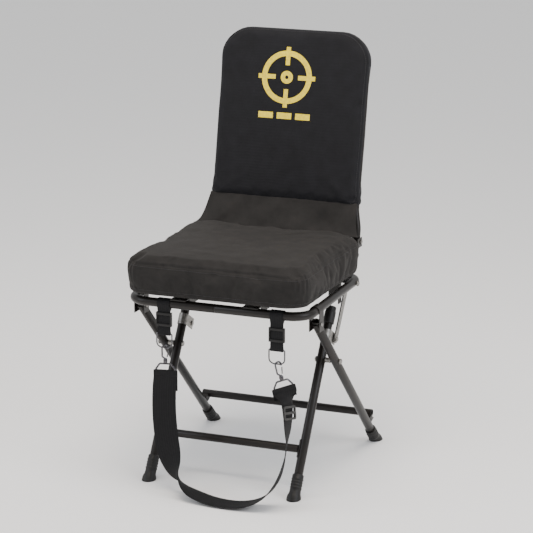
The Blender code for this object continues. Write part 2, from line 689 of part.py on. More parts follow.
def build_front_legs():
    way = (CROSS - FRONT_FOOT).normalized()
    tilt = lean(way)
    top = CROSS + way * FRONT_LEG_PAST_CROSS
    length = (top - FRONT_FOOT).length
    drilled = [(CROSS - FRONT_FOOT).length]
    link = LINK_LOW - FRONT_FOOT
    link_up = link.dot(way)
    link_out = (link - way * link_up).length
    inner, outer = TUBE_R + GAP, 0.0120
    cap = [(0, length + GAP), (inner, length + GAP), (inner, 0.384), (outer - 0.0008, 0.384), (outer, 0.385),
           (outer, 0.4105), (outer - 0.0008, 0.4115), (0.0110, 0.4115), (0.0110, length + 0.0012),
           (0.0095, length + 0.0024), (0, length + 0.0026)]

    # a folded sheet bracket; its ears reach behind the leg to the locking link's pin
    sheet = inner + 0.0014
    reach = link_out + 0.0085
    section = (
        [(sheet, reach), (inner, reach)]
        + arc((0, 0), inner, 0, -180, 8)
        + [(-inner, reach), (-sheet, reach)]
        + arc((0, 0), sheet, 180, 360, 8)
    )
    head = -sheet - 0.0028
    pin = [(0, head), (0.0052, head), (0.0052, -sheet + 0.0004), (0.0028, -sheet + 0.0004), (0.0028, sheet - 0.0002),
           (0, sheet - 0.0002)]
    for side, s in SIDES:
        x = s * FRONT_LEG_X
        foot = FRONT_FOOT + Vector((x, 0, 0))
        leg_tube(f"front_leg_{side}", "front_legs", FRONT_FOOT, top, x, drilled)
        add(f"front_foot_{side}", foot_mesh(tilt), PLASTIC, "front_legs", foot, (tilt, 0, 0))
        add(f"leg_cap_{side}", turned(cap, BIG_SIDES), PLASTIC, "front_legs", foot, (tilt, 0, 0))
        channel = prism(section, link_up - 0.012, link_up + 0.012, "XY")
        bracket = add(f"link_bracket_{side}", channel, ZINC, "front_legs", foot, (tilt, 0, 0))
        pin_at = LINK_LOW + Vector((x, 0, 0))
        shape = mirrored_to(s, turned(pin, SMALL_SIDES, "X"))
        boolean(bracket, cutter(f"bracket_pin_{side}", shape, "front_legs", pin_at), "UNION")

    up_foot = 0.1075
    thick = 0.0018
    half = FRONT_LEG_X - inner - thick / 2
    spot = FRONT_FOOT + way * up_foot
    bar = add("front_crossbar", rod(BAR_R, -half, half, 16), POWDER, "front_legs", spot)
    plates = []
    for _, s in SIDES:
        # a curved plate on the inner side of the leg, taller than the bar's end
        wrap = arc((0, 0), inner, 115, 245, 8) + arc((0, 0), inner + thick, 245, 115, 8)
        plate = prism([(s * a, b) for a, b in wrap], -0.019, 0.019, "XY")
        plates.append(moved(plate, Matrix.Translation((s * FRONT_LEG_X, 0, 0))))
    boolean(bar, cutter("bar_saddles", joined(plates), "front_legs", spot, (tilt, 0, 0)), "UNION")


def build_links():
    """Flat locking links from the rails down to the brackets on the inner legs. Each has its lower
    rivet pressed in; the rivet ends flush, so the link swings clear of the bracket's own pin."""
    inner, outer = 0.1780, 0.1810
    down = LINK_LOW - LINK_TOP
    tilt = math.atan2(down.z, down.y)
    length = down.length
    half = 0.00875
    outline = arc((length, 0), half, -90, 90, 8) + arc((0, 0), half, 90, 270, 8)
    rivet = [(0, inner + 0.0004), (0.0028, inner + 0.0004), (0.0028, outer - 0.0004), (0.0054, outer - 0.0004),
             (0.0054, outer + 0.0024), (0.0040, outer + 0.0036), (0, outer + 0.0036)]
    face = rail_x(LINK_TOP.y) + TUBE_R + GAP
    nut = inner - GAP - 0.0034
    bolt = [(0, nut), (0.0055, nut), (0.0055, inner - GAP), (0.0030, inner - GAP), (0.0030, face),
            (0.0062, face), (0.0062, face + 0.0026), (0.0045, face + 0.0040), (0, face + 0.0040)]
    for side, s in SIDES:
        body = f"{side}_link"
        strip = prism(outline, s * inner, s * outer, "YZ")
        piece = add(f"lock_link_{side}", strip, POWDER, body, LINK_TOP, (tilt, 0, 0))
        hole = mirrored_to(s, rod(0.0033, 0.16, 0.20))
        boolean(piece, cutter(f"link_hole_{side}", hole, body, LINK_TOP))
        stud = mirrored_to(s, turned(rivet, SMALL_SIDES, "X"))
        boolean(piece, cutter(f"link_rivet_{side}", stud, body, LINK_LOW), "UNION")
        shape = mirrored_to(s, turned(bolt, SMALL_SIDES, "X"))
        add(f"link_top_bolt_{side}", shape, ZINC, "base_ring", LINK_TOP)


# ---- carry strap ------------------------------------------------------------------------------------------
# the strap's route from the left hook to the right one: centre line, then the way its width lies
STRAP_ROUTE = [
    ((-0.1130, -0.2400, 0.2500), (1.00, 0.15, 0.00)),
    ((-0.1145, -0.2410, 0.2150), (1.00, 0.25, 0.00)),
    ((-0.1140, -0.2440, 0.1720), (1.00, 0.30, 0.00)),
    ((-0.1090, -0.2490, 0.1310), (1.00, 0.32, 0.05)),
    ((-0.0995, -0.2570, 0.0920), (1.00, 0.20, 0.10)),
    ((-0.0850, -0.2670, 0.0590), (0.90, -0.35, 0.10)),
    ((-0.0650, -0.2780, 0.0345), (0.55, -0.80, 0.05)),
    ((-0.0380, -0.2880, 0.0170), (0.25, -1.00, 0.00)),
    ((-0.0050, -0.2950, 0.0080), (0.08, -1.00, 0.00)),
    ((0.0330, -0.2990, 0.0040), (0.00, -1.00, 0.00)),
    ((0.0720, -0.2990, 0.0050), (0.00, -1.00, 0.00)),
    ((0.1060, -0.2960, 0.0130), (0.00, -1.00, 0.00)),
    ((0.1340, -0.2910, 0.0300), (0.00, -1.00, 0.00)),
    ((0.1540, -0.2840, 0.0580), (0.06, -1.00, 0.00)),
    ((0.1650, -0.2760, 0.0920), (0.20, -1.00, 0.00)),
    ((0.1695, -0.2680, 0.1290), (0.36, -1.00, 0.00)),
    ((0.1690, -0.2590, 0.1660), (0.10, -1.00, 0.00)),
    ((0.1660, -0.2510, 0.2000), (-0.02, -1.00, 0.00)),
    ((0.1590, -0.2440, 0.2270), (-0.08, -1.00, 0.00)),
    ((0.1540, -0.2400, 0.2440), (-0.20, -1.00, 0.00)),
]


def smooth(points, count):
    """Points spread evenly in number along a Catmull-Rom curve through the given ones."""
    result = []
    last = len(points) - 1
    for i in range(count + 1):
        t = last * i / count
        k = min(int(t), last - 1)
        u = t - k
        a, b, c, d = (points[min(max(k + o, 0), last)] for o in (-1, 0, 1, 2))
        result.append(
            0.5 * ((2 * b) + (c - a) * u + (2 * a - 5 * b + 4 * c - d) * u * u + (3 * b - a - 3 * c + d) * u ** 3)
        )
    return result


def ribbon(route, width, thick, count):
    """A flat band along a route; its width lies along the given directions."""
    middle = smooth([Vector(p) for p, _ in route], count)
    across = smooth([Vector(w) for _, w in route], count)
    rings = []
    for i, point in enumerate(middle):
        along = (middle[min(i + 1, count)] - middle[max(i - 1, 0)]).normalized()
        wide = (across[i] - along * across[i].dot(along)).normalized() * (width / 2)
        deep = along.cross(wide).normalized() * (thick / 2)
        rings.append([point - wide - deep, point + wide - deep, point + wide + deep, point - wide + deep])
    return loft(rings)


def drop_loop(bar_drop, ring_drop):
    """Webbing folded round the bar and round the strap ring, its two layers sewn together between.
    Heights are below the bar's centre; the outline lies in the YZ plane."""
    big = TUBE_R + GAP
    small = 0.0016 + 0.0005
    forward = HANG_Y - RING_FRONT_Y
    out = (
        arc((0, 0), big + DROP_T, -8, 188, 14)
        + [(forward - DROP_T, -bar_drop), (forward - DROP_T, 0.0075 - ring_drop)]
        + arc((forward, -ring_drop), small + DROP_T, 180, 360, 6)
        + [(forward + DROP_T, 0.0075 - ring_drop), (forward + DROP_T, -bar_drop)]
    )
    return out, arc((0, 0), big, 0, 360, 18)[:-1], arc((forward, -ring_drop), small, 0, 360, 8)[:-1]


def build_hangers():
    for side, hang in HANGERS.items():
        x = hang["x"]
        half = DROP_WIDTH / 2
        outline, bar_hole, ring_hole = drop_loop(0.0165, RING_Z - hang["ring"] - 0.0150)
        bar_at = (x, RING_FRONT_Y, RING_Z)
        drop = add(f"drop_webbing_{side}", prism(outline, -half, half, "YZ"), WEBBING, "carry_strap", bar_at)
        holes = [prism(hole, -half - 0.002, half + 0.002, "YZ") for hole in (bar_hole, ring_hole)]
        boolean(drop, cutter(f"drop_holes_{side}", joined(holes), "carry_strap", bar_at))

        # slider: a frame whose bars pass in front of and behind the doubled webbing
        clear = DROP_T + GAP
        rail_t, tall = 0.0026, 0.0150
        span = 2 * (half + GAP + rail_t)
        at = (x, HANG_Y, hang["slider"])
        frame = add(
            f"strap_slider_{side}", block((rail_t, 0.0072, 2 * tall), (half + GAP + rail_t / 2, 0, 0)),
            PLASTIC, "carry_strap", at,
        )
        bars = [
            block((rail_t, 0.0072, 2 * tall), (-half - GAP - rail_t / 2, 0, 0)),
            block((span - 0.0010, 0.0020, 0.0050), (0, -clear - 0.0010, tall - 0.0030)),
            block((span - 0.0010, 0.0020, 0.0050), (0, -clear - 0.0010, -tall + 0.0030)),
            block((span - 0.0010, 0.0020, 0.0060), (0, clear + 0.0010, 0)),
        ]
        for number in (1, 2, 3, 0):  # the far side bar last, when the cross bars already reach it
            tool = cutter(f"slider_bar_{side}_{number}", bars[number], "carry_strap", at)
            boolean(frame, tool, "UNION")

        # D-shaped strap ring: straight top bar in the webbing's fold, rounded below
        wide, top, low = 0.0172, 0.0150, -0.0150
        loop = bent_path(
            [(0, 0, top), (wide, 0, top), (wide, 0, low + 0.004), (wide * 0.45, 0, low), (0, 0, low)],
            [0.0025, 0.010, 0.010], 3,
        )
        loop += [Vector((-p.x, p.y, p.z)) for p in reversed(loop[1:-1])]
        ring_at = (x, HANG_Y, hang["ring"])
        add(f"strap_ring_{side}", pipe(loop, 0.0016, 8, cyclic=True), GUNMETAL, "carry_strap", ring_at)

        # snap hook: hook wire over the ring's lower bar, swivel barrel and a wide eye for the strap
        own = hook_frame(hang)
        at, turn = own.to_translation(), own.to_euler()
        hook_line = bent_path(
            [(0.0005, 0, 0.0185), (-0.0068, 0, 0.0245), (-0.0068, 0, 0.0482), (0.0048, 0, 0.0482),
             (0.0062, 0, 0.0395)],
            [0.005, 0.0055, 0.0045], 4,
        )
        barrel = turned([(0, 0.0108), (0.0040, 0.0108), (0.0046, 0.0125), (0.0046, 0.0172), (0.0030, 0.0205),
                         (0, 0.0205)], SMALL_SIDES)
        hook = add(f"snap_hook_{side}", pipe(hook_line, 0.0019, 8), GUNMETAL, "carry_strap", at, turn)
        boolean(hook, cutter(f"hook_barrel_{side}", barrel, "carry_strap", at, turn), "UNION")
        gate = pipe([GATE_PIVOT, (0.0066, 0, 0.0362)], 0.0013, 8)
        gate.transform(Matrix.Translation(-GATE_PIVOT))
        add(f"hook_gate_{side}", gate, GUNMETAL, f"{side}_gate", own @ GATE_PIVOT, turn)
        eye_line = bent_path(
            [(0, 0, 0.0085), (0.012, 0, 0.0085), (0.0240, 0, -0.0088), (-0.0240, 0, -0.0088), (-0.012, 0, 0.0085),
             (0, 0, 0.0085)],
            [0.005, 0.004, 0.004, 0.005], 4,
        )[:-1]
        turn = hook_frame(hang, "eye_turn").to_euler()
        add(f"hook_eye_{side}", pipe(eye_line, 0.0020, 8, cyclic=True), GUNMETAL, "carry_strap", at, turn)


def build_strap():
    add("shoulder_strap", ribbon(STRAP_ROUTE, STRAP_WIDTH, STRAP_T, 76), WEBBING, "carry_strap")
    # tri-glide on the right-hand leg of the strap, standing off the webbing's outer face
    centre, across = STRAP_ROUTE[17]
    way = (Vector(STRAP_ROUTE[16][0]) - Vector(STRAP_ROUTE[18][0])).normalized()
    wide = Vector(across)
    wide = (wide - way * wide.dot(way)).normalized()
    out = wide.cross(way)
    if out.x < 0:
        out = -out
    half, bar, long, thick = STRAP_WIDTH / 2 + 0.0045, 0.0036, 0.0145, 0.0034
    frame = Matrix((wide, way, out)).transposed().to_4x4()
    frame.translation = Vector(centre) + out * (STRAP_T / 2 + 0.0012 + thick / 2)
    plate = prism(round_rect(-half, half, -long, long, 0.005, 3), -thick / 2, thick / 2, "XY")
    slots = [
        prism(round_rect(-half + bar + 0.002, half - bar - 0.002, s * 0.0062 - 0.0036, s * 0.0062 + 0.0036, 0.002, 2),
              -thick, thick, "XY")
        for s in (-1, 1)
    ]
    glide = add("strap_adjuster", moved(plate, frame), PLASTIC, "carry_strap")
    boolean(glide, cutter("adjuster_slots", moved(joined(slots), frame), "carry_strap"))


build_ring()
build_ears()
build_rails()
build_stops()
build_seat(build_swivel())
build_back()
build_rear_legs()
build_front_legs()
build_links()
build_hangers()
build_strap()
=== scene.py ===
# Folding blind chair: padded swivel seat, crossed tube legs, webbing carry strap.
# Metres, +Z up, the sitter faces -Y. Left and right are those of someone facing the chair.
import json
import math

import bmesh
import bpy
from mathutils import Matrix, Vector, noise
from mathutils.bvhtree import BVHTree


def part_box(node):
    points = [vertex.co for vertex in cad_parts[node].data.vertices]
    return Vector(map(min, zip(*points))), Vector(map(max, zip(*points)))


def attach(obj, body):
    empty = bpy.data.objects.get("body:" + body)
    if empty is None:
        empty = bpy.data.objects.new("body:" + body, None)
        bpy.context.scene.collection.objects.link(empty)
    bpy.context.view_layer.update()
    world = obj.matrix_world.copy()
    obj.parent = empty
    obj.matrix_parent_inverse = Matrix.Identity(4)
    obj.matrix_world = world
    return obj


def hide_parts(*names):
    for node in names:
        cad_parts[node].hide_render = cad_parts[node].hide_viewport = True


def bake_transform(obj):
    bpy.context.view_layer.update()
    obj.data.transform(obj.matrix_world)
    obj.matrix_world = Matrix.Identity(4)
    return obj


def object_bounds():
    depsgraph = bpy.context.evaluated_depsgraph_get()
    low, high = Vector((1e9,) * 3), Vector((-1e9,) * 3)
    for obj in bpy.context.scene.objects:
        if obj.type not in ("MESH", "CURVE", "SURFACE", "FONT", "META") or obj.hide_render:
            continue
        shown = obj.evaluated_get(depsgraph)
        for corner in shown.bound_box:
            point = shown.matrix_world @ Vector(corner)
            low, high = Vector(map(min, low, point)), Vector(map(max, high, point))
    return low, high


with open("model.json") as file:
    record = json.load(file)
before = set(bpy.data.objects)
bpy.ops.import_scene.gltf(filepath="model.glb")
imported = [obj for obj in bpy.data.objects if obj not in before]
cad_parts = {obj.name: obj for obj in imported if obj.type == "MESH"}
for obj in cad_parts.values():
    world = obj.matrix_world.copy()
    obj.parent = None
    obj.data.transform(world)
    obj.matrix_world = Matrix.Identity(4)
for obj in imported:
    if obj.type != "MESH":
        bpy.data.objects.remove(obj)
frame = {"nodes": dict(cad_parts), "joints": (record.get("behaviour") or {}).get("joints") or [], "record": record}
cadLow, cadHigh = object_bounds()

scene = bpy.context.scene
joints = {joint["name"]: joint for joint in frame["joints"]}
mm = 0.001
up = Vector((0, 0, 1))
sides = ("left", "right")


def jointAt(name):
    return Vector(joints[name]["pos_m"])


# camera, light, floor
camera = {
    "at": (1.7815, -4.384, 1.6719),
    "yaw": 0.3794,  # radians, to the left of +Y
    "pitch": 0.2544,  # radians, down
    "lens": 155.35,
}


def makeCamera():
    yaw, pitch = camera["yaw"], camera["pitch"]
    look = Vector((-math.sin(yaw) * math.cos(pitch), math.cos(yaw) * math.cos(pitch), -math.sin(pitch)))
    made = bpy.data.objects.new("camera", bpy.data.cameras.new("camera"))
    made.location = camera["at"]
    made.rotation_euler = look.to_track_quat("-Z", "Y").to_euler()
    made.data.sensor_width = 36
    made.data.lens = camera["lens"]
    scene.collection.objects.link(made)
    scene.camera = made


makeCamera()
print("camera placed")

light = {
    "world": 0.85,
    # name: place, size, power, colour
    "top": ((0.3, -0.6, 3.0), 2.2, 78, "#FFF4E8"),
    "left": ((-2.6, -2.0, 1.9), 1.6, 24, "#EEF3FF"),
    "right": ((2.4, -0.6, 1.6), 1.4, 26, "#F4F6FF"),
    "aim": (0, 0, 0.42),
    "floor": "#FBFBFB",
}


def linear(code):
    # sRGB hex to linear
    parts = [int(code[i:i + 2], 16) / 255 for i in (1, 3, 5)]
    return [c / 12.92 if c <= 0.04045 else ((c + 0.055) / 1.055) ** 2.4 for c in parts]


def addNode(tree, kind, settings=None, values=None, links=None):
    # one node: its settings, the fixed values of its sockets, and the sockets that feed it
    made = tree.nodes.new(kind)
    for key, value in (settings or {}).items():
        setattr(made, key, value)
    for key, value in (values or {}).items():
        made.inputs[key].default_value = value
    for key, source in (links or {}).items():
        tree.links.new(source, made.inputs[key])
    return made


def newMaterial(name, colour, roughness, metallic=0.0, extra=None):
    made = bpy.data.materials.new(name)
    made.use_nodes = True
    shader = made.node_tree.nodes["Principled BSDF"]
    shader.inputs["Base Color"].default_value = (*linear(colour), 1)
    shader.inputs["Roughness"].default_value = roughness
    shader.inputs["Metallic"].default_value = metallic
    for key, value in (extra or {}).items():
        shader.inputs[key].default_value = value
    return made, made.node_tree, shader


def blendColours(tree, low, high, share):
    # a colour ramp between two hex colours
    ramp = addNode(tree, "ShaderNodeValToRGB", None, None, {"Fac": share})
    ramp.color_ramp.elements[0].color = (*linear(low), 1)
    ramp.color_ramp.elements[1].color = (*linear(high), 1)
    ramp.color_ramp.elements[0].position = 0.3
    ramp.color_ramp.elements[1].position = 0.7
    return ramp.outputs["Color"]


def perMetre(sizeMm):
    # noise scale whose features are about this size
    return 1 / (sizeMm * mm)


def waveScale(periodMm):
    # a band texture repeats every 2 pi / 20 at scale 1
    return 2 * math.pi / 20 / (periodMm * mm)


def bumped(tree, shader, height, strength, depthMm):
    bump = addNode(tree, "ShaderNodeBump", None, {"Strength": strength, "Distance": depthMm * mm},
                   {"Height": height})
    tree.links.new(bump.outputs["Normal"], shader.inputs["Normal"])


def cloudy(tree, shader, sizeMm, detail, colours, rough):
    # colour and roughness drift together over patches of about this size
    coords = addNode(tree, "ShaderNodeTexCoord").outputs["Object"]
    cloud = addNode(tree, "ShaderNodeTexNoise", None, {"Scale": perMetre(sizeMm), "Detail": detail},
                    {"Vector": coords}).outputs["Fac"]
    if colours:
        tree.links.new(blendColours(tree, *colours, cloud), shader.inputs["Base Color"])
    if rough:
        drift = addNode(tree, "ShaderNodeMapRange", None, {"To Min": rough[0], "To Max": rough[1]},
                        {"Value": cloud})
        tree.links.new(drift.outputs["Result"], shader.inputs["Roughness"])
    return coords, cloud


# finishes
def satinPowderCoat():
    # powder coat over steel tube: a skin of baked polyester, broad soft highlights, faint orange peel
    made, tree, shader = newMaterial("satin_powder_coat", "#171412", 0.34, 0.0, {"Specular IOR Level": 0.3})
    coords = cloudy(tree, shader, 38, 4, ("#12100E", "#1D1917"), (0.30, 0.43))[0]
    peel = addNode(tree, "ShaderNodeTexNoise", None, {"Scale": perMetre(1.6), "Detail": 3},
                   {"Vector": coords})
    bumped(tree, shader, peel.outputs["Fac"], 0.25, 0.15)
    return made


def zincPlate():
    # dull zinc on steel: grey with cloudy passivation
    made, tree, shader = newMaterial("dull_zinc_plate", "#8C8B88", 0.4, 1.0)
    cloudy(tree, shader, 6, 6, ("#6E6C69", "#A3A19D"), (0.32, 0.55))
    return made


def darkNickel():
    # black nickel on zinc die casting: near black with crisp highlights, worn lighter in patches
    made, tree, shader = newMaterial("black_nickel", "#57565A", 0.27, 1.0)
    cloudy(tree, shader, 4, 4, ("#3F3E42", "#6B6A6C"), (0.2, 0.38))
    return made


def bearingSteel():
    # polished balls in a pressed cage, under a film of grease
    made, tree, shader = newMaterial("greased_bearing_steel", "#B9B7B2", 0.18, 1.0)
    cloudy(tree, shader, 9, 3, None, (0.12, 0.4))
    return made


def mouldedNylon():
    # black nylon from a spark-eroded mould: fine even grain, grey sheen on its edges
    made, tree, shader = newMaterial("moulded_nylon", "#0D0D0D", 0.46, 0.0, {"Specular IOR Level": 0.35})
    coords = cloudy(tree, shader, 14, 5, ("#0A0A0A", "#161514"), (0.38, 0.56))[0]
    grain = addNode(tree, "ShaderNodeTexNoise", None, {"Scale": perMetre(0.8), "Detail": 2},
                    {"Vector": coords})
    bumped(tree, shader, grain.outputs["Fac"], 0.3, 0.1)
    return made


def wovenPolyester(name, dark, pale, sheen, tint):
    # heavy plain weave: matt, crossed threads, a soft mottle, and a faint fuzz at grazing angles
    made, tree, shader = newMaterial(name, dark, 0.86, 0.0, {
        "Sheen Weight": sheen, "Sheen Roughness": 0.45, "Sheen Tint": (*linear(tint), 1),
        "Specular IOR Level": 0.3})
    coords = addNode(tree, "ShaderNodeTexCoord").outputs["Object"]
    # such cloth has threads about 0.6 mm apart (assumed); they are drawn 1.3 mm apart so that they show
    threads = None
    for way in "XYZ":
        wave = addNode(tree, "ShaderNodeTexWave", {"bands_direction": way},
                       {"Scale": waveScale(1.3), "Distortion": 1.2, "Detail": 2, "Detail Scale": 2.5},
                       {"Vector": coords})
        if threads is None:
            threads = wave.outputs["Fac"]
        else:
            join = addNode(tree, "ShaderNodeMath", {"operation": "ADD"})
            tree.links.new(threads, join.inputs[0])
            tree.links.new(wave.outputs["Fac"], join.inputs[1])
            threads = join.outputs[0]
    mottle = addNode(tree, "ShaderNodeTexNoise", None,
                     {"Scale": perMetre(26), "Detail": 7, "Roughness": 0.62}, {"Vector": coords})
    colour = blendColours(tree, dark, pale, mottle.outputs["Fac"])
    weave = addNode(tree, "ShaderNodeMapRange", None, {"From Max": 3.0, "To Min": 0.80, "To Max": 1.12},
                    {"Value": threads})
    shade = addNode(tree, "ShaderNodeVectorMath", {"operation": "SCALE"}, None,
                    {"Vector": colour, "Scale": weave.outputs["Result"]})
    tree.links.new(shade.outputs["Vector"], shader.inputs["Base Color"])
    bumped(tree, shader, threads, 0.35, 0.25)
    return made


def ribbedWebbing():
    # polypropylene webbing: ribs across the band every 2.6 mm, cords along it every 5 mm
    made, tree, shader = newMaterial("ribbed_webbing", "#0C0C0D", 0.7, 0.0, {"Specular IOR Level": 0.2})
    coords = addNode(tree, "ShaderNodeTexCoord").outputs["UV"]
    ribs = addNode(tree, "ShaderNodeTexWave", {"bands_direction": "Y"},
                   {"Scale": waveScale(2.6), "Distortion": 0.6, "Detail": 1, "Detail Scale": 3},
                   {"Vector": coords})
    cords = addNode(tree, "ShaderNodeTexWave", {"bands_direction": "X"},
                    {"Scale": waveScale(5.0), "Distortion": 0.3}, {"Vector": coords})
    both = addNode(tree, "ShaderNodeMath", {"operation": "MULTIPLY_ADD"}, {1: 0.5},
                   {0: cords.outputs["Fac"], 2: ribs.outputs["Fac"]}).outputs[0]
    tree.links.new(blendColours(tree, "#070708", "#161618", both), shader.inputs["Base Color"])
    bumped(tree, shader, both, 0.6, 0.5)
    return made


def screenPrint():
    # yellow plastisol ink on cloth: matt, slightly uneven where the weave shows through
    made, tree, shader = newMaterial("plastisol_print", "#E0CB4A", 0.55)
    wear = cloudy(tree, shader, 5, 6, ("#DBBF22", "#F0D93C"), None)[1]
    bumped(tree, shader, wear, 0.3, 0.2)
    return made


def sewingThread():
    # bonded polyester thread, charcoal, a little glossier than the cloth
    made, tree, shader = newMaterial("bonded_thread", "#2C2B2D", 0.5)
    cloudy(tree, shader, 1.2, 2, ("#1B1A1C", "#2E2D2F"), None)
    return made


def openCellFoam():
    # cut polyurethane foam: cream, pitted
    made, tree, shader = newMaterial("open_cell_foam", "#C9BE9F", 0.95)
    coords = addNode(tree, "ShaderNodeTexCoord").outputs["Object"]
    cells = addNode(tree, "ShaderNodeTexVoronoi", None, {"Scale": perMetre(1.8)},
                    {"Vector": coords}).outputs["Distance"]
    tree.links.new(blendColours(tree, "#A89C7C", "#D6CCAF", cells), shader.inputs["Base Color"])
    bumped(tree, shader, cells, 0.6, 0.8)
    return made


def poplarPlyPaintedShade():
    # poplar plywood board with long soft grain along X, its colour darkened nearly to black as painted shade for
    # the shadow under the seat
    made, tree, shader = newMaterial("poplar_plywood_painted_shade", "#B08A5C", 0.7)
    coords = addNode(tree, "ShaderNodeTexCoord").outputs["Object"]
    grain = addNode(tree, "ShaderNodeTexWave", {"bands_direction": "Y"},
                    {"Scale": waveScale(9), "Distortion": 5, "Detail": 3, "Detail Scale": 0.4},
                    {"Vector": coords})
    # painted shade: both grain colours are kept nearly black, standing in for the shadow under the seat
    colour = blendColours(tree, "#1E1814", "#33291F", grain.outputs["Fac"])
    tree.links.new(colour, shader.inputs["Base Color"])
    return made


powder = satinPowderCoat()
zinc = zincPlate()
nickel = darkNickel()
bearing = bearingSteel()
nylon = mouldedNylon()
seatCloth = wovenPolyester("seat_polyester", "#181716", "#232120", 0.07, "#BDB6AE")
backCloth = wovenPolyester("back_polyester", "#0F0F12", "#16161A", 0.06, "#9FA3B4")
webbing = ribbedWebbing()
ink = screenPrint()
thread = sewingThread()
foam = openCellFoam()
ply = poplarPlyPaintedShade()
print("materials made")


def makeStage():
    floor = bpy.data.objects.new("floor", bpy.data.meshes.new("floor"))
    bm = bmesh.new()
    bmesh.ops.create_grid(bm, x_segments=2, y_segments=2, size=14)
    bm.to_mesh(floor.data)
    bm.free()
    floor.location.z = cadLow.z - 0.0004
    floor.data.materials.append(newMaterial("pale_floor", light["floor"], 0.8)[0])
    scene.collection.objects.link(floor)
    world = bpy.data.worlds.new("studio")
    world.use_nodes = True
    world.node_tree.nodes["Background"].inputs["Color"].default_value = (1, 1, 1, 1)
    world.node_tree.nodes["Background"].inputs["Strength"].default_value = light["world"]
    scene.world = world
    for name in ("top", "left", "right"):
        at, size, power, colour = light[name]
        lamp = bpy.data.lights.new(name + "_softbox", "AREA")
        lamp.shape = "DISK"
        lamp.size = size
        lamp.energy = power
        lamp.color = linear(colour)
        holder = bpy.data.objects.new(name + "_softbox", lamp)
        holder.location = at
        holder.rotation_euler = (Vector(light["aim"]) - Vector(at)).to_track_quat("-Z", "Y").to_euler()
        scene.collection.objects.link(holder)


makeStage()
print("stage made")


# mesh helpers
def place(name, bm, material, body, nodes=(), smooth=50):
    # a new piece from a bmesh in the frame's own coordinates
    bmesh.ops.recalc_face_normals(bm, faces=bm.faces)
    mesh = bpy.data.meshes.new(name)
    bm.to_mesh(mesh)
    bm.free()
    mesh.materials.append(material)
    mesh.shade_smooth()
    mesh.set_sharp_from_angle(angle=math.radians(smooth))
    piece = bpy.data.objects.new(name, mesh)
    scene.collection.objects.link(piece)
    if body:
        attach(piece, body)
    if nodes:
        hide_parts(*nodes)
    return piece


def bentPath(corners, radii, steps=8):
    # points through corners, each inner corner rounded to its radius
    corners = [Vector(c) for c in corners]
    path = [corners[0]]
    for before, corner, after, radius in zip(corners, corners[1:], corners[2:], radii):
        into = (before - corner).normalized()
        out = (after - corner).normalized()
        half = into.angle(out) / 2
        reach = radius / math.tan(half)
        centre = corner + (into + out).normalized() * (radius / math.sin(half))
        first = corner + into * reach - centre
        last = corner + out * reach - centre
        sweep = first.angle(last)
        for i in range(steps + 1):
            t = i / steps
            path.append(centre + first * (math.sin((1 - t) * sweep) / math.sin(sweep))
                        + last * (math.sin(t * sweep) / math.sin(sweep)))
    path.append(corners[-1])
    return path


def sweepFrames(points, cyclic):
    # a rotation-minimising pair of directions at each point
    count = len(points)
    ways = []
    for i in range(count):
        before = points[i - 1] if i or cyclic else points[0]
        after = points[(i + 1) % count] if i < count - 1 or cyclic else points[-1]
        ways.append((after - before).normalized())
    side = ways[0].orthogonal().normalized()
    frames = []
    for i, way in enumerate(ways):
        if i:
            side = (ways[i - 1].rotation_difference(way) @ side).normalized()
            side = (side - way * side.dot(way)).normalized()
        frames.append((side, way.cross(side)))
    return frames


def tubeMesh(points, radius, wall=0.0, around=32, cyclic=False):
    # a round tube along points. A wall above 0 leaves its ends open, with a rounded lip
    bm = bmesh.new()
    frames = sweepFrames(points, cyclic)

    def ring(centre, pair, r):
        return [bm.verts.new(centre + (pair[0] * math.cos(a) + pair[1] * math.sin(a)) * r)
                for a in (2 * math.pi * k / around for k in range(around))]

    rows = [ring(p, f, radius) for p, f in zip(points, frames)]
    if wall and not cyclic:
        rim = min(wall * 0.45, 0.0005)
        first = (points[1] - points[0]).normalized()
        last = (points[-1] - points[-2]).normalized()
        depth = radius * 1.2
        rows[0] = ring(points[0] + first * rim, frames[0], radius)
        rows[-1] = ring(points[-1] - last * rim, frames[-1], radius)
        start = [ring(points[0] + first * depth, frames[0], radius - wall),
                 ring(points[0] + first * rim, frames[0], radius - wall),
                 ring(points[0], frames[0], radius - wall / 2 - rim / 4),
                 ring(points[0], frames[0], radius - rim / 2)]
        end = [ring(points[-1], frames[-1], radius - rim / 2),
               ring(points[-1], frames[-1], radius - wall / 2 - rim / 4),
               ring(points[-1] - last * rim, frames[-1], radius - wall),
               ring(points[-1] - last * depth, frames[-1], radius - wall)]
        rows = start + rows + end
    for i in range(len(rows) if cyclic else len(rows) - 1):
        lower, upper = rows[i], rows[(i + 1) % len(rows)]
        for k in range(around):
            j = (k + 1) % around
            bm.faces.new((lower[k], lower[j], upper[j], upper[k]))
    if not cyclic:
        bm.faces.new(list(reversed(rows[0])))
        bm.faces.new(rows[-1])
    return bm


def turnedMesh(profile, around=48):
    # a turned solid from (radius, height) points that start and end on the axis
    bm = bmesh.new()
    rows = []
    for r, z in profile:
        if r < 1e-6:
            rows.append([bm.verts.new((0, 0, z))])
        else:
            rows.append([bm.verts.new((r * math.cos(a), r * math.sin(a), z))
                         for a in (2 * math.pi * k / around for k in range(around))])
    for lower, upper in zip(rows, rows[1:]):
        for k in range(around):
            j = (k + 1) % around
            if len(lower) == 1:
                bm.faces.new((lower[0], upper[j], upper[k]))
            elif len(upper) == 1:
                bm.faces.new((lower[k], lower[j], upper[0]))
            else:
                bm.faces.new((lower[k], lower[j], upper[j], upper[k]))
    return bm


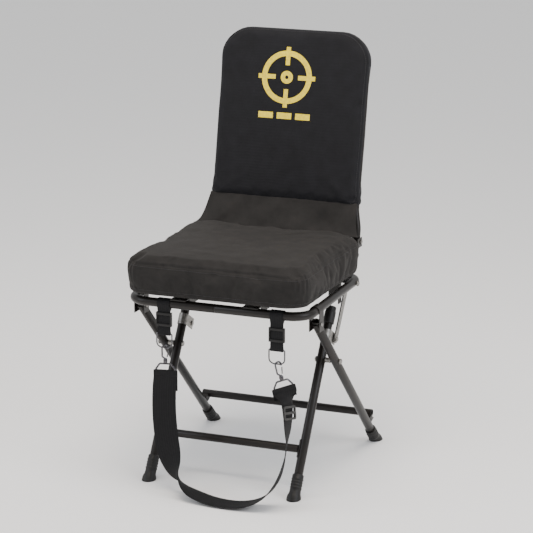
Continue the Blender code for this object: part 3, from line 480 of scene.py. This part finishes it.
def tubeAxis(node, radius, rising):
    # both ends of the centre line of a straight tube in a YZ plane; rising is the sign of its dy/dz
    low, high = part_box(node)
    x = (low.x + high.x) / 2
    way = Vector((0, high.y - low.y, high.z - low.z)).normalized()
    for _ in range(8):
        insetY, insetZ = radius * way.z, radius * way.y
        bottom = Vector((x, low.y + insetY, low.z + insetZ))
        top = Vector((x, high.y - insetY, high.z - insetZ))
        way = (top - bottom).normalized()
    if rising < 0:
        bottom.y, top.y = top.y, bottom.y
    return bottom, top


def crisp(node, width, material, segments=2, angle=32):
    # the node's own shape with its edges rounded over, as a new piece
    source = frame["nodes"][node]
    bm = bmesh.new()
    bm.from_mesh(source.data)
    bmesh.ops.remove_doubles(bm, verts=bm.verts, dist=1e-6)
    bmesh.ops.dissolve_limit(bm, angle_limit=math.radians(1), verts=bm.verts, edges=bm.edges)
    piece = place(node + "_part", bm, material, None, (), 45)
    bevel = piece.modifiers.new("edges", "BEVEL")
    bevel.width = width
    bevel.segments = segments
    bevel.limit_method = "ANGLE"
    bevel.angle_limit = math.radians(angle)
    bevel.use_clamp_overlap = True
    bevel.harden_normals = False
    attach(piece, bodyOf[node])
    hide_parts(node)
    return piece


bodyOf = {node: body for body, nodes in frame["record"]["behaviour"]["bodies"].items() for node in nodes}

# ring and seat loop
tube = {"radius": 0.0095, "wall": 0.0012, "seatLoop": 0.009, "back": 0.008}
ring = {"frontHalf": 0.1985, "rearHalf": 0.191, "frontBend": 0.042, "rearBend": 0.034, "seam": 0.0004}


def makeRing():
    low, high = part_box("ring_tube")
    z = (low.z + high.z) / 2
    front, rear = low.y + tube["radius"], high.y - tube["radius"]
    a, b, seam = ring["frontHalf"], ring["rearHalf"], ring["seam"]
    corners = [(seam, front, z), (a, front, z), (b, rear, z), (-b, rear, z), (-a, front, z),
               (-seam, front, z)]
    path = bentPath(corners, [ring["frontBend"], ring["rearBend"], ring["rearBend"], ring["frontBend"]], 10)
    place("ring_tube_bent", tubeMesh(path, tube["radius"], tube["wall"]), powder, "base_ring", ["ring_tube"])


def makeSeatLoop():
    low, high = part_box("seat_frame")
    r = tube["seatLoop"]
    z = (low.z + high.z) / 2
    x, front, rear, weld = high.x - r, low.y + r, high.y - r, 0.0004
    corners = [(weld, front, z), (x, front, z), (x, rear, z), (-x, rear, z), (-x, front, z),
               (-weld, front, z)]
    path = bentPath(corners, [0.030] * 4, 9)
    place("seat_loop_bent", tubeMesh(path, r, tube["wall"]), powder, "seat", ["seat_frame"])


makeRing()
makeSeatLoop()
print("ring and seat loop bent")

# legs
foot = {"socket": 0.0098, "neck": 0.0120, "base": 0.0152, "height": 0.053, "ribs": 4, "ribDepth": 0.0007}


def makeLeg(name, body, rising, radius):
    bottom, top = tubeAxis(name, radius, rising)
    place(name + "_tube", tubeMesh([bottom, top], radius, tube["wall"]), powder, body, [name])
    return bottom, top


def makeFoot(name, body, bottom, top):
    # a moulded boot over the leg's end with grip ribs, cut flat on the floor
    way = (top - bottom).normalized()
    floorPoint = bottom + way * (-bottom.z / way.z)
    h = foot["height"]
    profile = [(0, -0.014), (foot["base"], -0.014), (foot["base"], 0.003), (foot["base"] - 0.0006, 0.0065)]
    neck = [(foot["neck"] + 0.0006, 0.012), (foot["neck"], 0.018)]
    profile += neck
    for i in range(foot["ribs"]):
        z = 0.023 + 0.006 * i
        profile += [(foot["neck"], z), (foot["neck"] + foot["ribDepth"], z + 0.0010),
                    (foot["neck"] + foot["ribDepth"], z + 0.0022), (foot["neck"], z + 0.0032)]
    profile += [(foot["neck"], h - 0.0016), (foot["neck"] - 0.0005, h - 0.0004), (foot["neck"] - 0.0012, h),
                (foot["socket"], h), (foot["socket"], 0.0145), (0, 0.0145)]
    bm = turnedMesh(profile)
    turn = up.rotation_difference(way).to_matrix().to_4x4()
    turn.translation = floorPoint
    bmesh.ops.transform(bm, matrix=turn, verts=bm.verts)
    cut = bmesh.ops.bisect_plane(bm, geom=bm.verts[:] + bm.edges[:] + bm.faces[:], plane_co=(0, 0, 0),
                                 plane_no=(0, 0, -1), clear_outer=True)
    rim = [item for item in cut["geom_cut"] if isinstance(item, bmesh.types.BMEdge)]
    bmesh.ops.edgeloop_fill(bm, edges=rim)
    place(name + "_boot", bm, nylon, body, [name], 35)


for side in sides:
    ends = makeLeg(f"rear_leg_{side}", "rear_legs", -1, tube["radius"])
    makeFoot(f"rear_foot_{side}", "rear_legs", *ends)
    ends = makeLeg(f"front_leg_{side}", "front_legs", 1, tube["radius"])
    makeFoot(f"front_foot_{side}", "front_legs", *ends)
print("legs and feet made")

# small hardware, edges rounded over
hardware = {
    # node: (edge radius in mm, material)
    "ear_bracket": (0.5, powder), "ear_rivet": (0.5, zinc), "cross_rail": (0.5, powder),
    "stop_hanger": (0.6, powder), "hinge_clevis": (0.5, powder), "hinge_bolt": (0.4, zinc),
    "link_bracket": (0.4, zinc), "link_top_bolt": (0.4, zinc), "lock_link": (0.5, zinc),
    "cross_bolt": (0.4, zinc), "leg_cap": (0.4, nylon), "strap_slider": (0.7, nylon),
    "strap_ring": (0.2, nickel), "snap_hook": (0.3, nickel), "hook_gate": (0.2, nickel),
    "hook_eye": (0.2, nickel),
}
for kind, (edge, material) in hardware.items():
    for side in sides:
        crisp(f"{kind}_{side}", edge * mm, material)
for node, edge, material in (("rear_crossbar", 0.5, powder), ("front_crossbar", 0.5, powder),
                             ("strap_adjuster", 0.5, nylon), ("swivel_upper_plate", 0.4, zinc),
                             ("swivel_lower_plate", 0.4, zinc)):
    crisp(node, edge * mm, material)
# the seat board gets the plywood whose near-black colour is painted shade
for node, material in (("ring_joint_dowel", zinc), ("ball_ring", bearing), ("seat_board", ply),
                       ("seat_foam", foam), ("back_foam", foam)):
    for slotNumber in range(len(frame["nodes"][node].material_slots)):
        frame["nodes"][node].material_slots[slotNumber].material = material
print("hardware finished")


# cloth helpers
def swell(piece, how):
    # remesh, then a short cloth run with air pressure inside; no point moves further than the cap
    bpy.context.view_layer.objects.active = piece
    piece.data.remesh_voxel_size = how["voxel"]
    bpy.ops.object.voxel_remesh()
    rest = [v.co.copy() for v in piece.data.vertices]
    held = piece.vertex_groups.new(name="held")
    held.add([v.index for v in piece.data.vertices if how["holds"](v.co)], 1.0, "REPLACE")
    cloth = piece.modifiers.new("cloth", "CLOTH")
    cloth.settings.quality = 5
    cloth.settings.mass = 0.25
    cloth.settings.tension_stiffness = 12
    cloth.settings.compression_stiffness = 12
    cloth.settings.bending_stiffness = how["bend"]
    cloth.settings.shrink_min = -how["slack"]  # cut a little larger than the pad
    cloth.settings.use_pressure = True
    cloth.settings.uniform_pressure_force = how["pressure"]
    cloth.settings.effector_weights.gravity = 0
    cloth.settings.vertex_group_mass = "held"
    cloth.point_cache.frame_start = 1
    cloth.point_cache.frame_end = 20
    for step in range(1, 21):
        scene.frame_set(step)
    bpy.ops.object.modifier_apply(modifier="cloth")
    scene.frame_set(1)
    moves = [v.co - start for v, start in zip(piece.data.vertices, rest)]
    for v, start, move in zip(piece.data.vertices, rest, moves):
        if move.length > how["cap"]:
            v.co = start + move.normalized() * how["cap"]
    reach = [move.length for move in moves]
    capped = sum(length > how["cap"] for length in reach)
    print(piece.name, "cloth moved up to", round(max(reach) / mm, 1), "mm, mean",
          round(sum(reach) / len(reach) / mm, 1), "mm, capped", capped, "of", len(reach))
    piece.vertex_groups.clear()
    fine = piece.modifiers.new("fine", "SUBSURF")
    fine.levels = fine.render_levels = 1
    bpy.ops.object.modifier_apply(modifier="fine")


def foldLift(co, folds):
    # how far soft folds lift a point: each is a ridge along a segment that fades at its ends
    lift = 0
    for a, b, width, height in folds:
        a, b = Vector(a), Vector(b)
        along = b - a
        t = max(0, min(1, (co - a).dot(along) / along.length_squared))
        off = (co - (a + along * t)).length
        fade = 0.35 + 0.65 * math.sin(math.pi * min(max(t, 0.06), 0.94))
        lift += height * math.exp(-(off / width) ** 2) * fade
    return lift


def sculpt(piece, lift):
    # moves each point along its normal by lift(point, normal)
    normals = [v.normal.copy() for v in piece.data.vertices]
    for v, normal in zip(piece.data.vertices, normals):
        v.co = v.co + normal * lift(v.co, normal)


def roundRect(x0, x1, y0, y1, radius, steps=8):
    points = []
    for cx, cy, start in ((x1 - radius, y0 + radius, -90), (x1 - radius, y1 - radius, 0),
                          (x0 + radius, y1 - radius, 90), (x0 + radius, y0 + radius, 180)):
        for i in range(steps + 1):
            a = math.radians(start + 90 * i / steps)
            points.append((cx + radius * math.cos(a), cy + radius * math.sin(a)))
    return points


def loftMesh(rings):
    bm = bmesh.new()
    rows = [[bm.verts.new(p) for p in one] for one in rings]
    for lower, upper in zip(rows, rows[1:]):
        for i in range(len(lower)):
            j = (i + 1) % len(lower)
            bm.faces.new((lower[i], lower[j], upper[j], upper[i]))
    bm.faces.new(list(reversed(rows[0])))
    bm.faces.new(rows[-1])
    return bm


def surfaceOf(piece):
    bm = bmesh.new()
    bm.from_mesh(piece.data)
    tree = BVHTree.FromBMesh(bm)
    bm.free()
    return tree


def stitches(name, path, body, pitch, length, radius):
    # a row of sewn stitches laid along a path, each a short rounded bar
    bm = bmesh.new()
    spans = [(b - a).length for a, b in zip(path, path[1:])]
    count = int(sum(spans) / pitch)

    def at(distance):
        for a, b, span in zip(path, path[1:], spans):
            if distance <= span:
                return a.lerp(b, distance / span)
            distance -= span
        return path[-1].copy()

    for i in range(count):
        start, stop = at(i * pitch), at(i * pitch + length)
        way = (stop - start).normalized()
        bar = bmesh.ops.create_uvsphere(bm, u_segments=8, v_segments=6, radius=1)["verts"]
        turn = up.rotation_difference(way).to_matrix().to_4x4()
        size = Matrix.Diagonal((radius, radius, (stop - start).length / 2, 1))
        bmesh.ops.transform(bm, matrix=Matrix.Translation((start + stop) / 2) @ turn @ size, verts=bar)
    return place(name, bm, thread, body, ())


def snapTo(tree, points, lift):
    # lays points on a surface, a little proud of it
    laid = []
    for p in points:
        near, normal = tree.find_nearest(p)[:2]
        laid.append(near + normal * lift)
    return laid


# seat cover
seat = {
    "corner": 0.040,
    "voxel": 0.005, "pressure": 3.0, "cap": 0.007, "slack": 0.03, "bend": 0.6,
    "hemIn": 0.026,
    # height above the hem, how far in from the outline
    "profile": [(0.0006, 0.016), (0.0006, 0.0100), (0.0024, 0.0048), (0.008, 0.0024), (0.022, 0.0014),
                (0.045, 0.0010), (0.058, 0.0012), (0.0655, 0.0022), (0.0705, 0.0062), (0.0735, 0.0125),
                (0.0755, 0.026), (0.0768, 0.050), (0.0776, 0.085), (0.0780, 0.125)],
}


def makeSeatCover():
    low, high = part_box("seat_cover")
    rings = []
    for rise, inset in seat["profile"]:
        outline = roundRect(low.x + inset, high.x - inset, low.y + inset, high.y - inset * 0.5,
                            max(seat["corner"] - inset * 0.3, 0.02))
        rings.append([(x, y, low.z + rise) for x, y in outline])
    cover = place("seat_cover_sewn", loftMesh(rings), seatCloth, None)
    hem, top = low.z, high.z
    seat["holds"] = lambda co: co.z < hem + 0.004
    swell(cover, seat)
    front, rear, left, right = low.y, high.y, low.x, high.x
    seamZ = hem + 0.0655
    # soft creases: diagonals on the right skirt near the rear, ripples on the top, gathers at the corners
    folds = [
        ((right, rear - 0.105, seamZ), (right, rear - 0.140, hem + 0.010), 0.007, 0.0024),
        ((right, rear - 0.062, seamZ - 0.004), (right, rear - 0.085, hem + 0.006), 0.006, -0.0020),
        ((right, rear - 0.165, seamZ - 0.01), (right, rear - 0.215, hem + 0.012), 0.009, 0.0014),
        ((left, rear - 0.080, seamZ), (left, rear - 0.125, hem + 0.010), 0.008, 0.0020),
        ((left, rear - 0.180, seamZ - 0.012), (left, rear - 0.225, hem + 0.010), 0.009, 0.0013),
        ((right - 0.06, rear - 0.010, top - 0.004), (right - 0.16, rear - 0.090, top - 0.003), 0.013, 0.0026),
        ((right - 0.03, rear - 0.060, top - 0.004), (right - 0.14, rear - 0.105, top - 0.003), 0.010, 0.0017),
        ((left + 0.05, rear - 0.012, top - 0.004), (left + 0.13, rear - 0.070, top - 0.003), 0.013, 0.0022),
        ((-0.02, rear - 0.006, top - 0.004), (0.03, rear - 0.055, top - 0.003), 0.012, 0.0020),
        ((-0.10, front + 0.08, top - 0.003), (0.03, front + 0.060, top - 0.003), 0.016, 0.0012),
        ((0.02, front + 0.14, top - 0.002), (0.13, front + 0.105, top - 0.003), 0.016, 0.0012),
        ((-0.13, rear - 0.13, top - 0.002), (-0.01, rear - 0.17, top - 0.002), 0.018, -0.0012),
    ]
    corners = [(sx, front if sy < 0 else rear, sy) for sx in (left, right) for sy in (-1, 1)]

    def lift(co, normal):
        move = foldLift(co, folds)
        broad = noise.noise(co * 14) * 0.0012 + noise.noise(co * 34 + Vector((3, 1, 7))) * 0.0005
        move += broad * (1.0 if normal.z > 0.5 else 0.75)
        # gathers under the seam at each rounded corner
        for cx, cy, sy in corners:
            centre = Vector((cx - math.copysign(seat["corner"], cx), cy - sy * seat["corner"], co.z))
            out = co - centre
            if out.x * cx > 0 and out.y * sy > 0 and abs(normal.z) < 0.8:
                turn = math.atan2(out.y, out.x)
                fade = math.exp(-((seamZ - 0.008 - co.z) / 0.022) ** 2)
                edge = min(1, abs(out.x) / 0.012) * min(1, abs(out.y) / 0.012)
                move += 0.0011 * math.sin(turn * 22) * fade * edge
        # the seam pulls a shallow groove round the skirt
        if abs(normal.z) < 0.85:
            move -= 0.0013 * math.exp(-((co.z - seamZ) / 0.0022) ** 2)
            move += 0.0007 * math.exp(-((co.z - seamZ - 0.0042) / 0.0026) ** 2)
        return move

    sculpt(cover, lift)
    skin = surfaceOf(cover)
    # the underside is open inside the turned-in hem
    bm = bmesh.new()
    bm.from_mesh(cover.data)
    inner = seat["hemIn"]
    gone = [f for f in bm.faces if f.normal.z < -0.7 and f.calc_center_median().z < hem + 0.006
            and left + inner < f.calc_center_median().x < right - inner
            and front + inner < f.calc_center_median().y < rear - inner]
    bmesh.ops.delete(bm, geom=gone, context="FACES")
    bm.to_mesh(cover.data)
    bm.free()
    cloth = cover.modifiers.new("cloth_thickness", "SOLIDIFY")
    cloth.thickness = 0.0012
    cloth.offset = -1
    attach(cover, "seat")
    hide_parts("seat_cover")
    # two rows of stitching: along the seam, and at the hem
    for label, z in (("seam", seamZ - 0.0035), ("hem", hem + 0.0115)):
        outline = roundRect(left, right, front, rear, seat["corner"], 14)
        path = [Vector((x, y, z)) for x, y in outline]
        path.append(path[0])
        dense = []
        for a, b in zip(path, path[1:]):
            steps = max(1, int((b - a).length / 0.006))
            dense += [a.lerp(b, i / steps) for i in range(steps)]
        dense.append(path[-1])
        laid = snapTo(skin, dense, 0.0002)
        stitches(f"seat_{label}_stitches", laid, "seat", 0.0042, 0.0030, 0.00045)


makeSeatCover()
print("seat cover sewn")

# backrest
back = {
    "hinge": jointAt("back_fold"), "recline": math.radians(11.6),
    "footX": 0.171, "tubeX": 0.1635, "halfX": 0.175, "low": 0.074, "high": 0.4536, "halfT": 0.018,
    "corner": 0.068,
    "footCorner": 0.012,
    "voxel": 0.005, "pressure": 3.0, "cap": 0.004, "slack": 0.012, "bend": 2.0,
}
leanFrame = Matrix.Translation(back["hinge"]) @ Matrix.Rotation(-back["recline"], 4, "X")


def makeBackTube():
    top = back["high"] - 0.003 - tube["back"] - 0.0012
    corners = []
    for s in (-1, 1):
        leg = [(s * back["footX"], 0, -0.004), (s * back["footX"], 0, 0.028), (s * back["tubeX"], 0, 0.068),
               (s * back["tubeX"], 0, top)]
        corners += leg if s < 0 else leg[::-1]
    path = [leanFrame @ p for p in bentPath(corners, [0.06, 0.06, 0.058, 0.058, 0.06, 0.06], 8)]
    place("back_tube_bent", tubeMesh(path, tube["back"], tube["wall"]), powder, "backrest", ["back_frame"])


def backRing(y, inset):
    small, corner = back["footCorner"], back["corner"]
    points = []
    halfX, low, high = back["halfX"] - inset, back["low"] + inset, back["high"] - inset
    for cx, cz, radius, start, steps in ((halfX - small, low + small, small, -90, 5),
                                         (halfX - corner, high - corner, corner, 0, 14),
                                         (-halfX + corner, high - corner, corner, 90, 14),
                                         (-halfX + small, low + small, small, 180, 5)):
        for i in range(steps + 1):
            a = math.radians(start + 90 * i / steps)
            points.append((cx + radius * math.cos(a), y, cz + radius * math.sin(a)))
    return points


def makeBackCover():
    t = back["halfT"]
    # depth in from each face, and how far in from the outline; the same on the front and the rear
    edge = [(0.0010, 0.040), (0.0012, 0.014), (0.0030, 0.0058), (0.0062, 0.0022), (0.0110, 0.0016)]
    depths = [(deep - t, inset) for deep, inset in edge] + [(t - deep, inset) for deep, inset in edge[::-1]]
    cover = place("back_cover_sewn", loftMesh([backRing(y, inset) for y, inset in depths]), backCloth, None)
    floorZ = back["low"] + 0.006
    back["holds"] = lambda co: co.z < floorZ
    swell(cover, back)
    w, low, high = back["halfX"], back["low"], back["high"]
    folds = [
        ((-w + 0.02, -t, low + 0.012), (-w + 0.085, -t, low + 0.055), 0.010, 0.0014),
        ((w - 0.02, -t, low + 0.012), (w - 0.095, -t, low + 0.065), 0.011, 0.0015),
        ((w - 0.045, -t, low + 0.006), (w - 0.075, -t, low + 0.048), 0.008, -0.0012),
        ((-0.02, -t, low + 0.004), (-0.045, -t, low + 0.036), 0.010, 0.0009),
        ((-w + 0.03, -t, high - 0.050), (-w + 0.075, -t, high - 0.090), 0.018, 0.0010),
        ((w - 0.03, -t, high - 0.050), (w - 0.075, -t, high - 0.095), 0.018, 0.0010),
    ]

    def lift(co, normal):
        move = foldLift(co, folds)
        move += noise.noise(co * 11 + Vector((5, 2, 1))) * 0.0011 + noise.noise(co * 30) * 0.0003
        # the front and back panels meet the boxing in a narrow seam
        if abs(normal.y) < 0.97:
            for seam in (-t + 0.0046, t - 0.0046):
                move -= 0.0009 * math.exp(-((co.y - seam) / 0.0014) ** 2)
        return move

    sculpt(cover, lift)
    for v in cover.data.vertices:
        v.co = leanFrame @ v.co
    skin = surfaceOf(cover)
    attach(cover, "backrest")
    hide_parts("back_cover")
    for label, y in (("front", -t + 0.0020), ("rear", t - 0.0020)):
        path = [leanFrame @ Vector(p) for p in backRing(y, 0.0075)]
        dense = []
        for a, b in zip(path, path[1:]):
            steps = max(1, int((b - a).length / 0.006))
            dense += [a.lerp(b, i / steps) for i in range(steps)]
        laid = snapTo(skin, dense, 0.0002)
        stitches(f"back_{label}_stitches", laid, "backrest", 0.0042, 0.0030, 0.00045)
    return skin


makeBackTube()
backSkin = makeBackCover()
print("backrest covered")

# printed emblem: an aiming ring with four ticks and a dot, over three short bars
emblem = {"x": -0.010, "v": 0.343, "ring": (0.046, 0.058), "dot": (0.004, 0.014),
          "tick": (0.026, 0.066, 0.0050),
          "proud": 0.0003, "barV": 0.259, "barHeight": 0.0136, "barWidth": 0.034, "barPitch": 0.043}


def makeEmblem():
    shapes = []
    for inner, outer in (emblem["ring"], emblem["dot"]):
        for i in range(72):
            turns = [(math.cos(a), math.sin(a)) for a in (2 * math.pi * i / 72, 2 * math.pi * (i + 1) / 72)]
            (ca, sa), (cb, sb) = turns
            shapes.append([(outer * ca, outer * sa), (outer * cb, outer * sb), (inner * cb, inner * sb),
                           (inner * ca, inner * sa)])
    # straight parts are cut into short strips so that they follow the cloth
    near, far, half = emblem["tick"]
    for way in (Vector((1, 0)), Vector((0, 1)), Vector((-1, 0)), Vector((0, -1))):
        cross = way.orthogonal() * half
        for start, stop in ((near, emblem["ring"][0]), (emblem["ring"][1], far)):
            for i in range(4):
                a = way * (start + (stop - start) * i / 4)
                b = way * (start + (stop - start) * (i + 1) / 4)
                shapes.append([tuple(a - cross), tuple(b - cross), tuple(b + cross), tuple(a + cross)])
    low = emblem["barV"] - emblem["v"] - emblem["barHeight"] / 2
    high = low + emblem["barHeight"]
    for bar in (-1, 0, 1):
        left = bar * emblem["barPitch"] - emblem["barWidth"] / 2
        for i in range(8):
            a = left + emblem["barWidth"] * i / 8
            b = left + emblem["barWidth"] * (i + 1) / 8
            shapes.append([(a, low), (b, low), (b, high), (a, high)])
    bm = bmesh.new()
    ahead = leanFrame.to_3x3() @ Vector((0, 1, 0))
    for shape in shapes:
        verts = []
        for x, v in shape:
            start = leanFrame @ Vector((x + emblem["x"], -0.08, v + emblem["v"]))
            hit = backSkin.ray_cast(start, ahead)[0]
            verts.append(bm.verts.new(hit - ahead * emblem["proud"]))
        bm.faces.new(verts)
    bmesh.ops.remove_doubles(bm, verts=bm.verts, dist=1e-5)
    place("back_emblem_print", bm, ink, "backrest", ())


makeEmblem()
print("emblem printed")

# gusset between the seat and the backrest
gusset = {"columns": 110, "rows": 26, "seatHalf": 0.193, "backHalf": 0.171, "thick": 0.0012}


def makeGusset():
    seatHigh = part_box("seat_cover")[1]
    seam = Vector((0, seatHigh.y - 0.010, seatHigh.z - 0.0085))
    bend = Vector((0, seatHigh.y + 0.006, seatHigh.z - 0.004))
    head = leanFrame @ Vector((0, -back["halfT"] + 0.004, back["low"] + 0.008))
    bm = bmesh.new()
    rows = []
    for j in range(gusset["rows"] + 1):
        t = j / gusset["rows"]
        row = []
        for i in range(gusset["columns"] + 1):
            u = 2 * i / gusset["columns"] - 1
            half = gusset["seatHalf"] + (gusset["backHalf"] - gusset["seatHalf"]) * t ** 0.8
            p = seam * (1 - t) ** 2 + bend * 2 * t * (1 - t) + head * t * t
            p = p + Vector((u * half, 0, 0))
            # loose folds that run from the backrest's corners and fade out at both seams
            slack = math.sin(math.pi * t) ** 0.8
            ripple = 0.0046 * math.sin(5.2 * u + 2.2 * t + 0.6) * math.cos(2.1 * u - 0.8)
            ripple += 0.0026 * math.sin(11.5 * u - 3.5 * t)
            ripple += 0.0022 * noise.noise(Vector((u * 3.1, t * 1.6, 4.2)))
            corner = math.exp(-((abs(u) - 0.86 + 0.25 * t) / 0.07) ** 2)
            p.y += -slack * (ripple + 0.0035 * corner)
            p.z += slack * (ripple * 0.6 - 0.002 * corner)
            row.append(bm.verts.new(p))
        rows.append(row)
    for lower, upper in zip(rows, rows[1:]):
        for i in range(gusset["columns"]):
            bm.faces.new((lower[i], lower[i + 1], upper[i + 1], upper[i]))
    cloth = place("gusset_cloth", bm, seatCloth, None)
    bpy.context.view_layer.objects.active = cloth
    thick = cloth.modifiers.new("thickness", "SOLIDIFY")
    thick.thickness = gusset["thick"]
    thick.offset = 0
    bpy.ops.object.modifier_apply(modifier="thickness")
    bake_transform(cloth)
    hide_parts("gusset")


makeGusset()
print("gusset hung")

# carry strap
strap = {"width": 0.050, "thick": 0.0020, "columns": 10, "rows": 260, "eyeWire": 0.0020, "eyeDrop": 0.0088}
hangers = {
    "left": {"eye": (-0.1118, 0.2625), "lean": 0, "eyeTurn": 12, "tail": 0.042, "straight": 0.012},
    "right": {"eye": (0.1510, 0.2560), "lean": 14, "eyeTurn": 40, "tail": 0.020, "straight": 0.009},
}
# the strap's centre line from the left eye to the right one, then the way its width lies
strapRoute = [
    ((-0.1145, -0.2050, 0.2150), (1.00, 0.25, 0.00)),
    ((-0.1140, -0.2080, 0.1720), (1.00, 0.30, 0.00)),
    ((-0.1090, -0.2130, 0.1310), (1.00, 0.32, 0.05)),
    ((-0.0995, -0.2210, 0.0920), (1.00, 0.20, 0.10)),
    ((-0.0850, -0.2310, 0.0590), (0.90, -0.35, 0.10)),
    ((-0.0650, -0.2420, 0.0345), (0.55, -0.80, 0.05)),
    ((-0.0380, -0.2520, 0.0170), (0.25, -1.00, 0.00)),
    ((-0.0050, -0.2590, 0.0080), (0.08, -1.00, 0.00)),
    ((0.0330, -0.2630, 0.0040), (0.00, -1.00, 0.00)),
    ((0.0720, -0.2630, 0.0050), (0.00, -1.00, 0.00)),
    ((0.1060, -0.2600, 0.0130), (0.00, -1.00, 0.00)),
    ((0.1340, -0.2550, 0.0300), (0.00, -1.00, 0.00)),
    ((0.1540, -0.2480, 0.0580), (0.06, -1.00, 0.00)),
    ((0.1650, -0.2400, 0.0920), (0.20, -1.00, 0.00)),
    ((0.1695, -0.2320, 0.1290), (0.36, -1.00, 0.00)),
    ((0.1690, -0.2230, 0.1660), (0.10, -1.00, 0.00)),
    ((0.1660, -0.2150, 0.2000), (-0.02, -1.00, 0.00)),
    ((0.1605, -0.2085, 0.2240), (-0.12, -0.99, 0.00)),
]


def smoothLine(points, count):
    # catmull-Rom points through the given ones
    result = []
    last = len(points) - 1
    for i in range(count + 1):
        t = last * i / count
        k = min(int(t), last - 1)
        u = t - k
        a, b, c, d = (points[min(max(k + o, 0), last)] for o in (-1, 0, 1, 2))
        result.append(0.5 * ((2 * b) + (c - a) * u + (2 * a - 5 * b + 4 * c - d) * u * u
                             + (3 * b - a - 3 * c + d) * u ** 3))
    return result


def eyeWrap(hang, hangY, steps=10):
    # the strap's end: up behind the eye's bar, over it and down in front, as (point, width) pairs
    tip = Matrix.Rotation(math.radians(-hang["lean"]), 4, "Y")
    turn = Matrix.Rotation(math.radians(hang["eyeTurn"]), 4, "Z")
    own = Matrix.Translation((hang["eye"][0], hangY, hang["eye"][1])) @ tip @ turn
    wide = (own.to_3x3() @ Vector((1, 0, 0))).normalized()
    bar = own @ Vector((0, 0, -strap["eyeDrop"]))
    ahead = (own.to_3x3() @ Vector((0, -1, 0))).normalized()
    reach = strap["eyeWire"] + 0.0004 + strap["thick"] / 2
    down = -(own.to_3x3() @ up)
    points = [(bar + down * hang["tail"] * (1 - k / 5) - ahead * (reach * (0.75 + 0.25 * k / 4)), wide)
              for k in range(5)]
    for i in range(steps + 1):
        a = math.pi * i / steps
        points.append((bar - ahead * (reach * math.cos(a)) - down * (reach * math.sin(a)), wide))
    points.append((bar + down * hang["straight"] / 2 + ahead * (reach * 0.9), wide))
    points.append((bar + down * hang["straight"] + ahead * (reach * 0.8), wide))
    return points


def bandMesh(route, width, thick, rows, columns):
    # a woven band along (point, width direction) pairs, with its length in metres as V
    middle = smoothLine([Vector(p) for p, w in route], rows)
    across = smoothLine([Vector(w).normalized() for p, w in route], rows)
    bm = bmesh.new()
    layer = bm.loops.layers.uv.new("UVMap")
    grid, spots = [], []
    run = 0
    edge = thick * 0.35
    for i, point in enumerate(middle):
        along = (middle[min(i + 1, rows)] - middle[max(i - 1, 0)]).normalized()
        wide = (across[i] - along * across[i].dot(along)).normalized()
        deep = along.cross(wide).normalized()
        if i:
            run += (point - middle[i - 1]).length
        ring, marks = [], []
        for k in range(columns + 1):
            u = width * (k / columns - 0.5)
            t = thick / 2 - (edge if k in (0, columns) else 0)
            ring.append(bm.verts.new(point + wide * u + deep * t))
            marks.append((u, run))
        for k in range(columns, -1, -1):
            u = width * (k / columns - 0.5)
            t = thick / 2 - (edge if k in (0, columns) else 0)
            ring.append(bm.verts.new(point + wide * u - deep * t))
            marks.append((u, run))
        grid.append(ring)
        spots.append(marks)
    for r in range(rows):
        for k in range(len(grid[r])):
            j = (k + 1) % len(grid[r])
            face = bm.faces.new((grid[r][k], grid[r][j], grid[r + 1][j], grid[r + 1][k]))
            for loop, uv in zip(face.loops, (spots[r][k], spots[r][j], spots[r + 1][j], spots[r + 1][k])):
                loop[layer].uv = uv
    bm.faces.new(list(reversed(grid[0])))
    bm.faces.new(grid[-1])
    return bm, run


def makeStrap():
    low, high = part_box("strap_ring_left")
    hangY = (low.y + high.y) / 2
    route = eyeWrap(hangers["left"], hangY)
    route += strapRoute
    ending = eyeWrap(hangers["right"], hangY)
    # the right end is met from in front, so its width turns the other way round
    route += [(p, -w) for p, w in reversed(ending)]
    bm, length = bandMesh(route, strap["width"], strap["thick"], strap["rows"], strap["columns"])
    band = place("carry_strap_webbing", bm, webbing, "carry_strap", ["shoulder_strap"], 60)
    print("strap length", round(length, 3))


def makeDrops():
    # each drop: webbing folded round the front bar and through the strap ring
    for side in sides:
        piece = crisp(f"drop_webbing_{side}", 0.3 * mm, webbing, 2, 60)
        layer = piece.data.uv_layers.new(name="UVMap")
        for loop in piece.data.loops:
            co = piece.data.vertices[loop.vertex_index].co
            layer.data[loop.index].uv = (co.x, co.z)


makeStrap()
makeDrops()
print("strap hung")
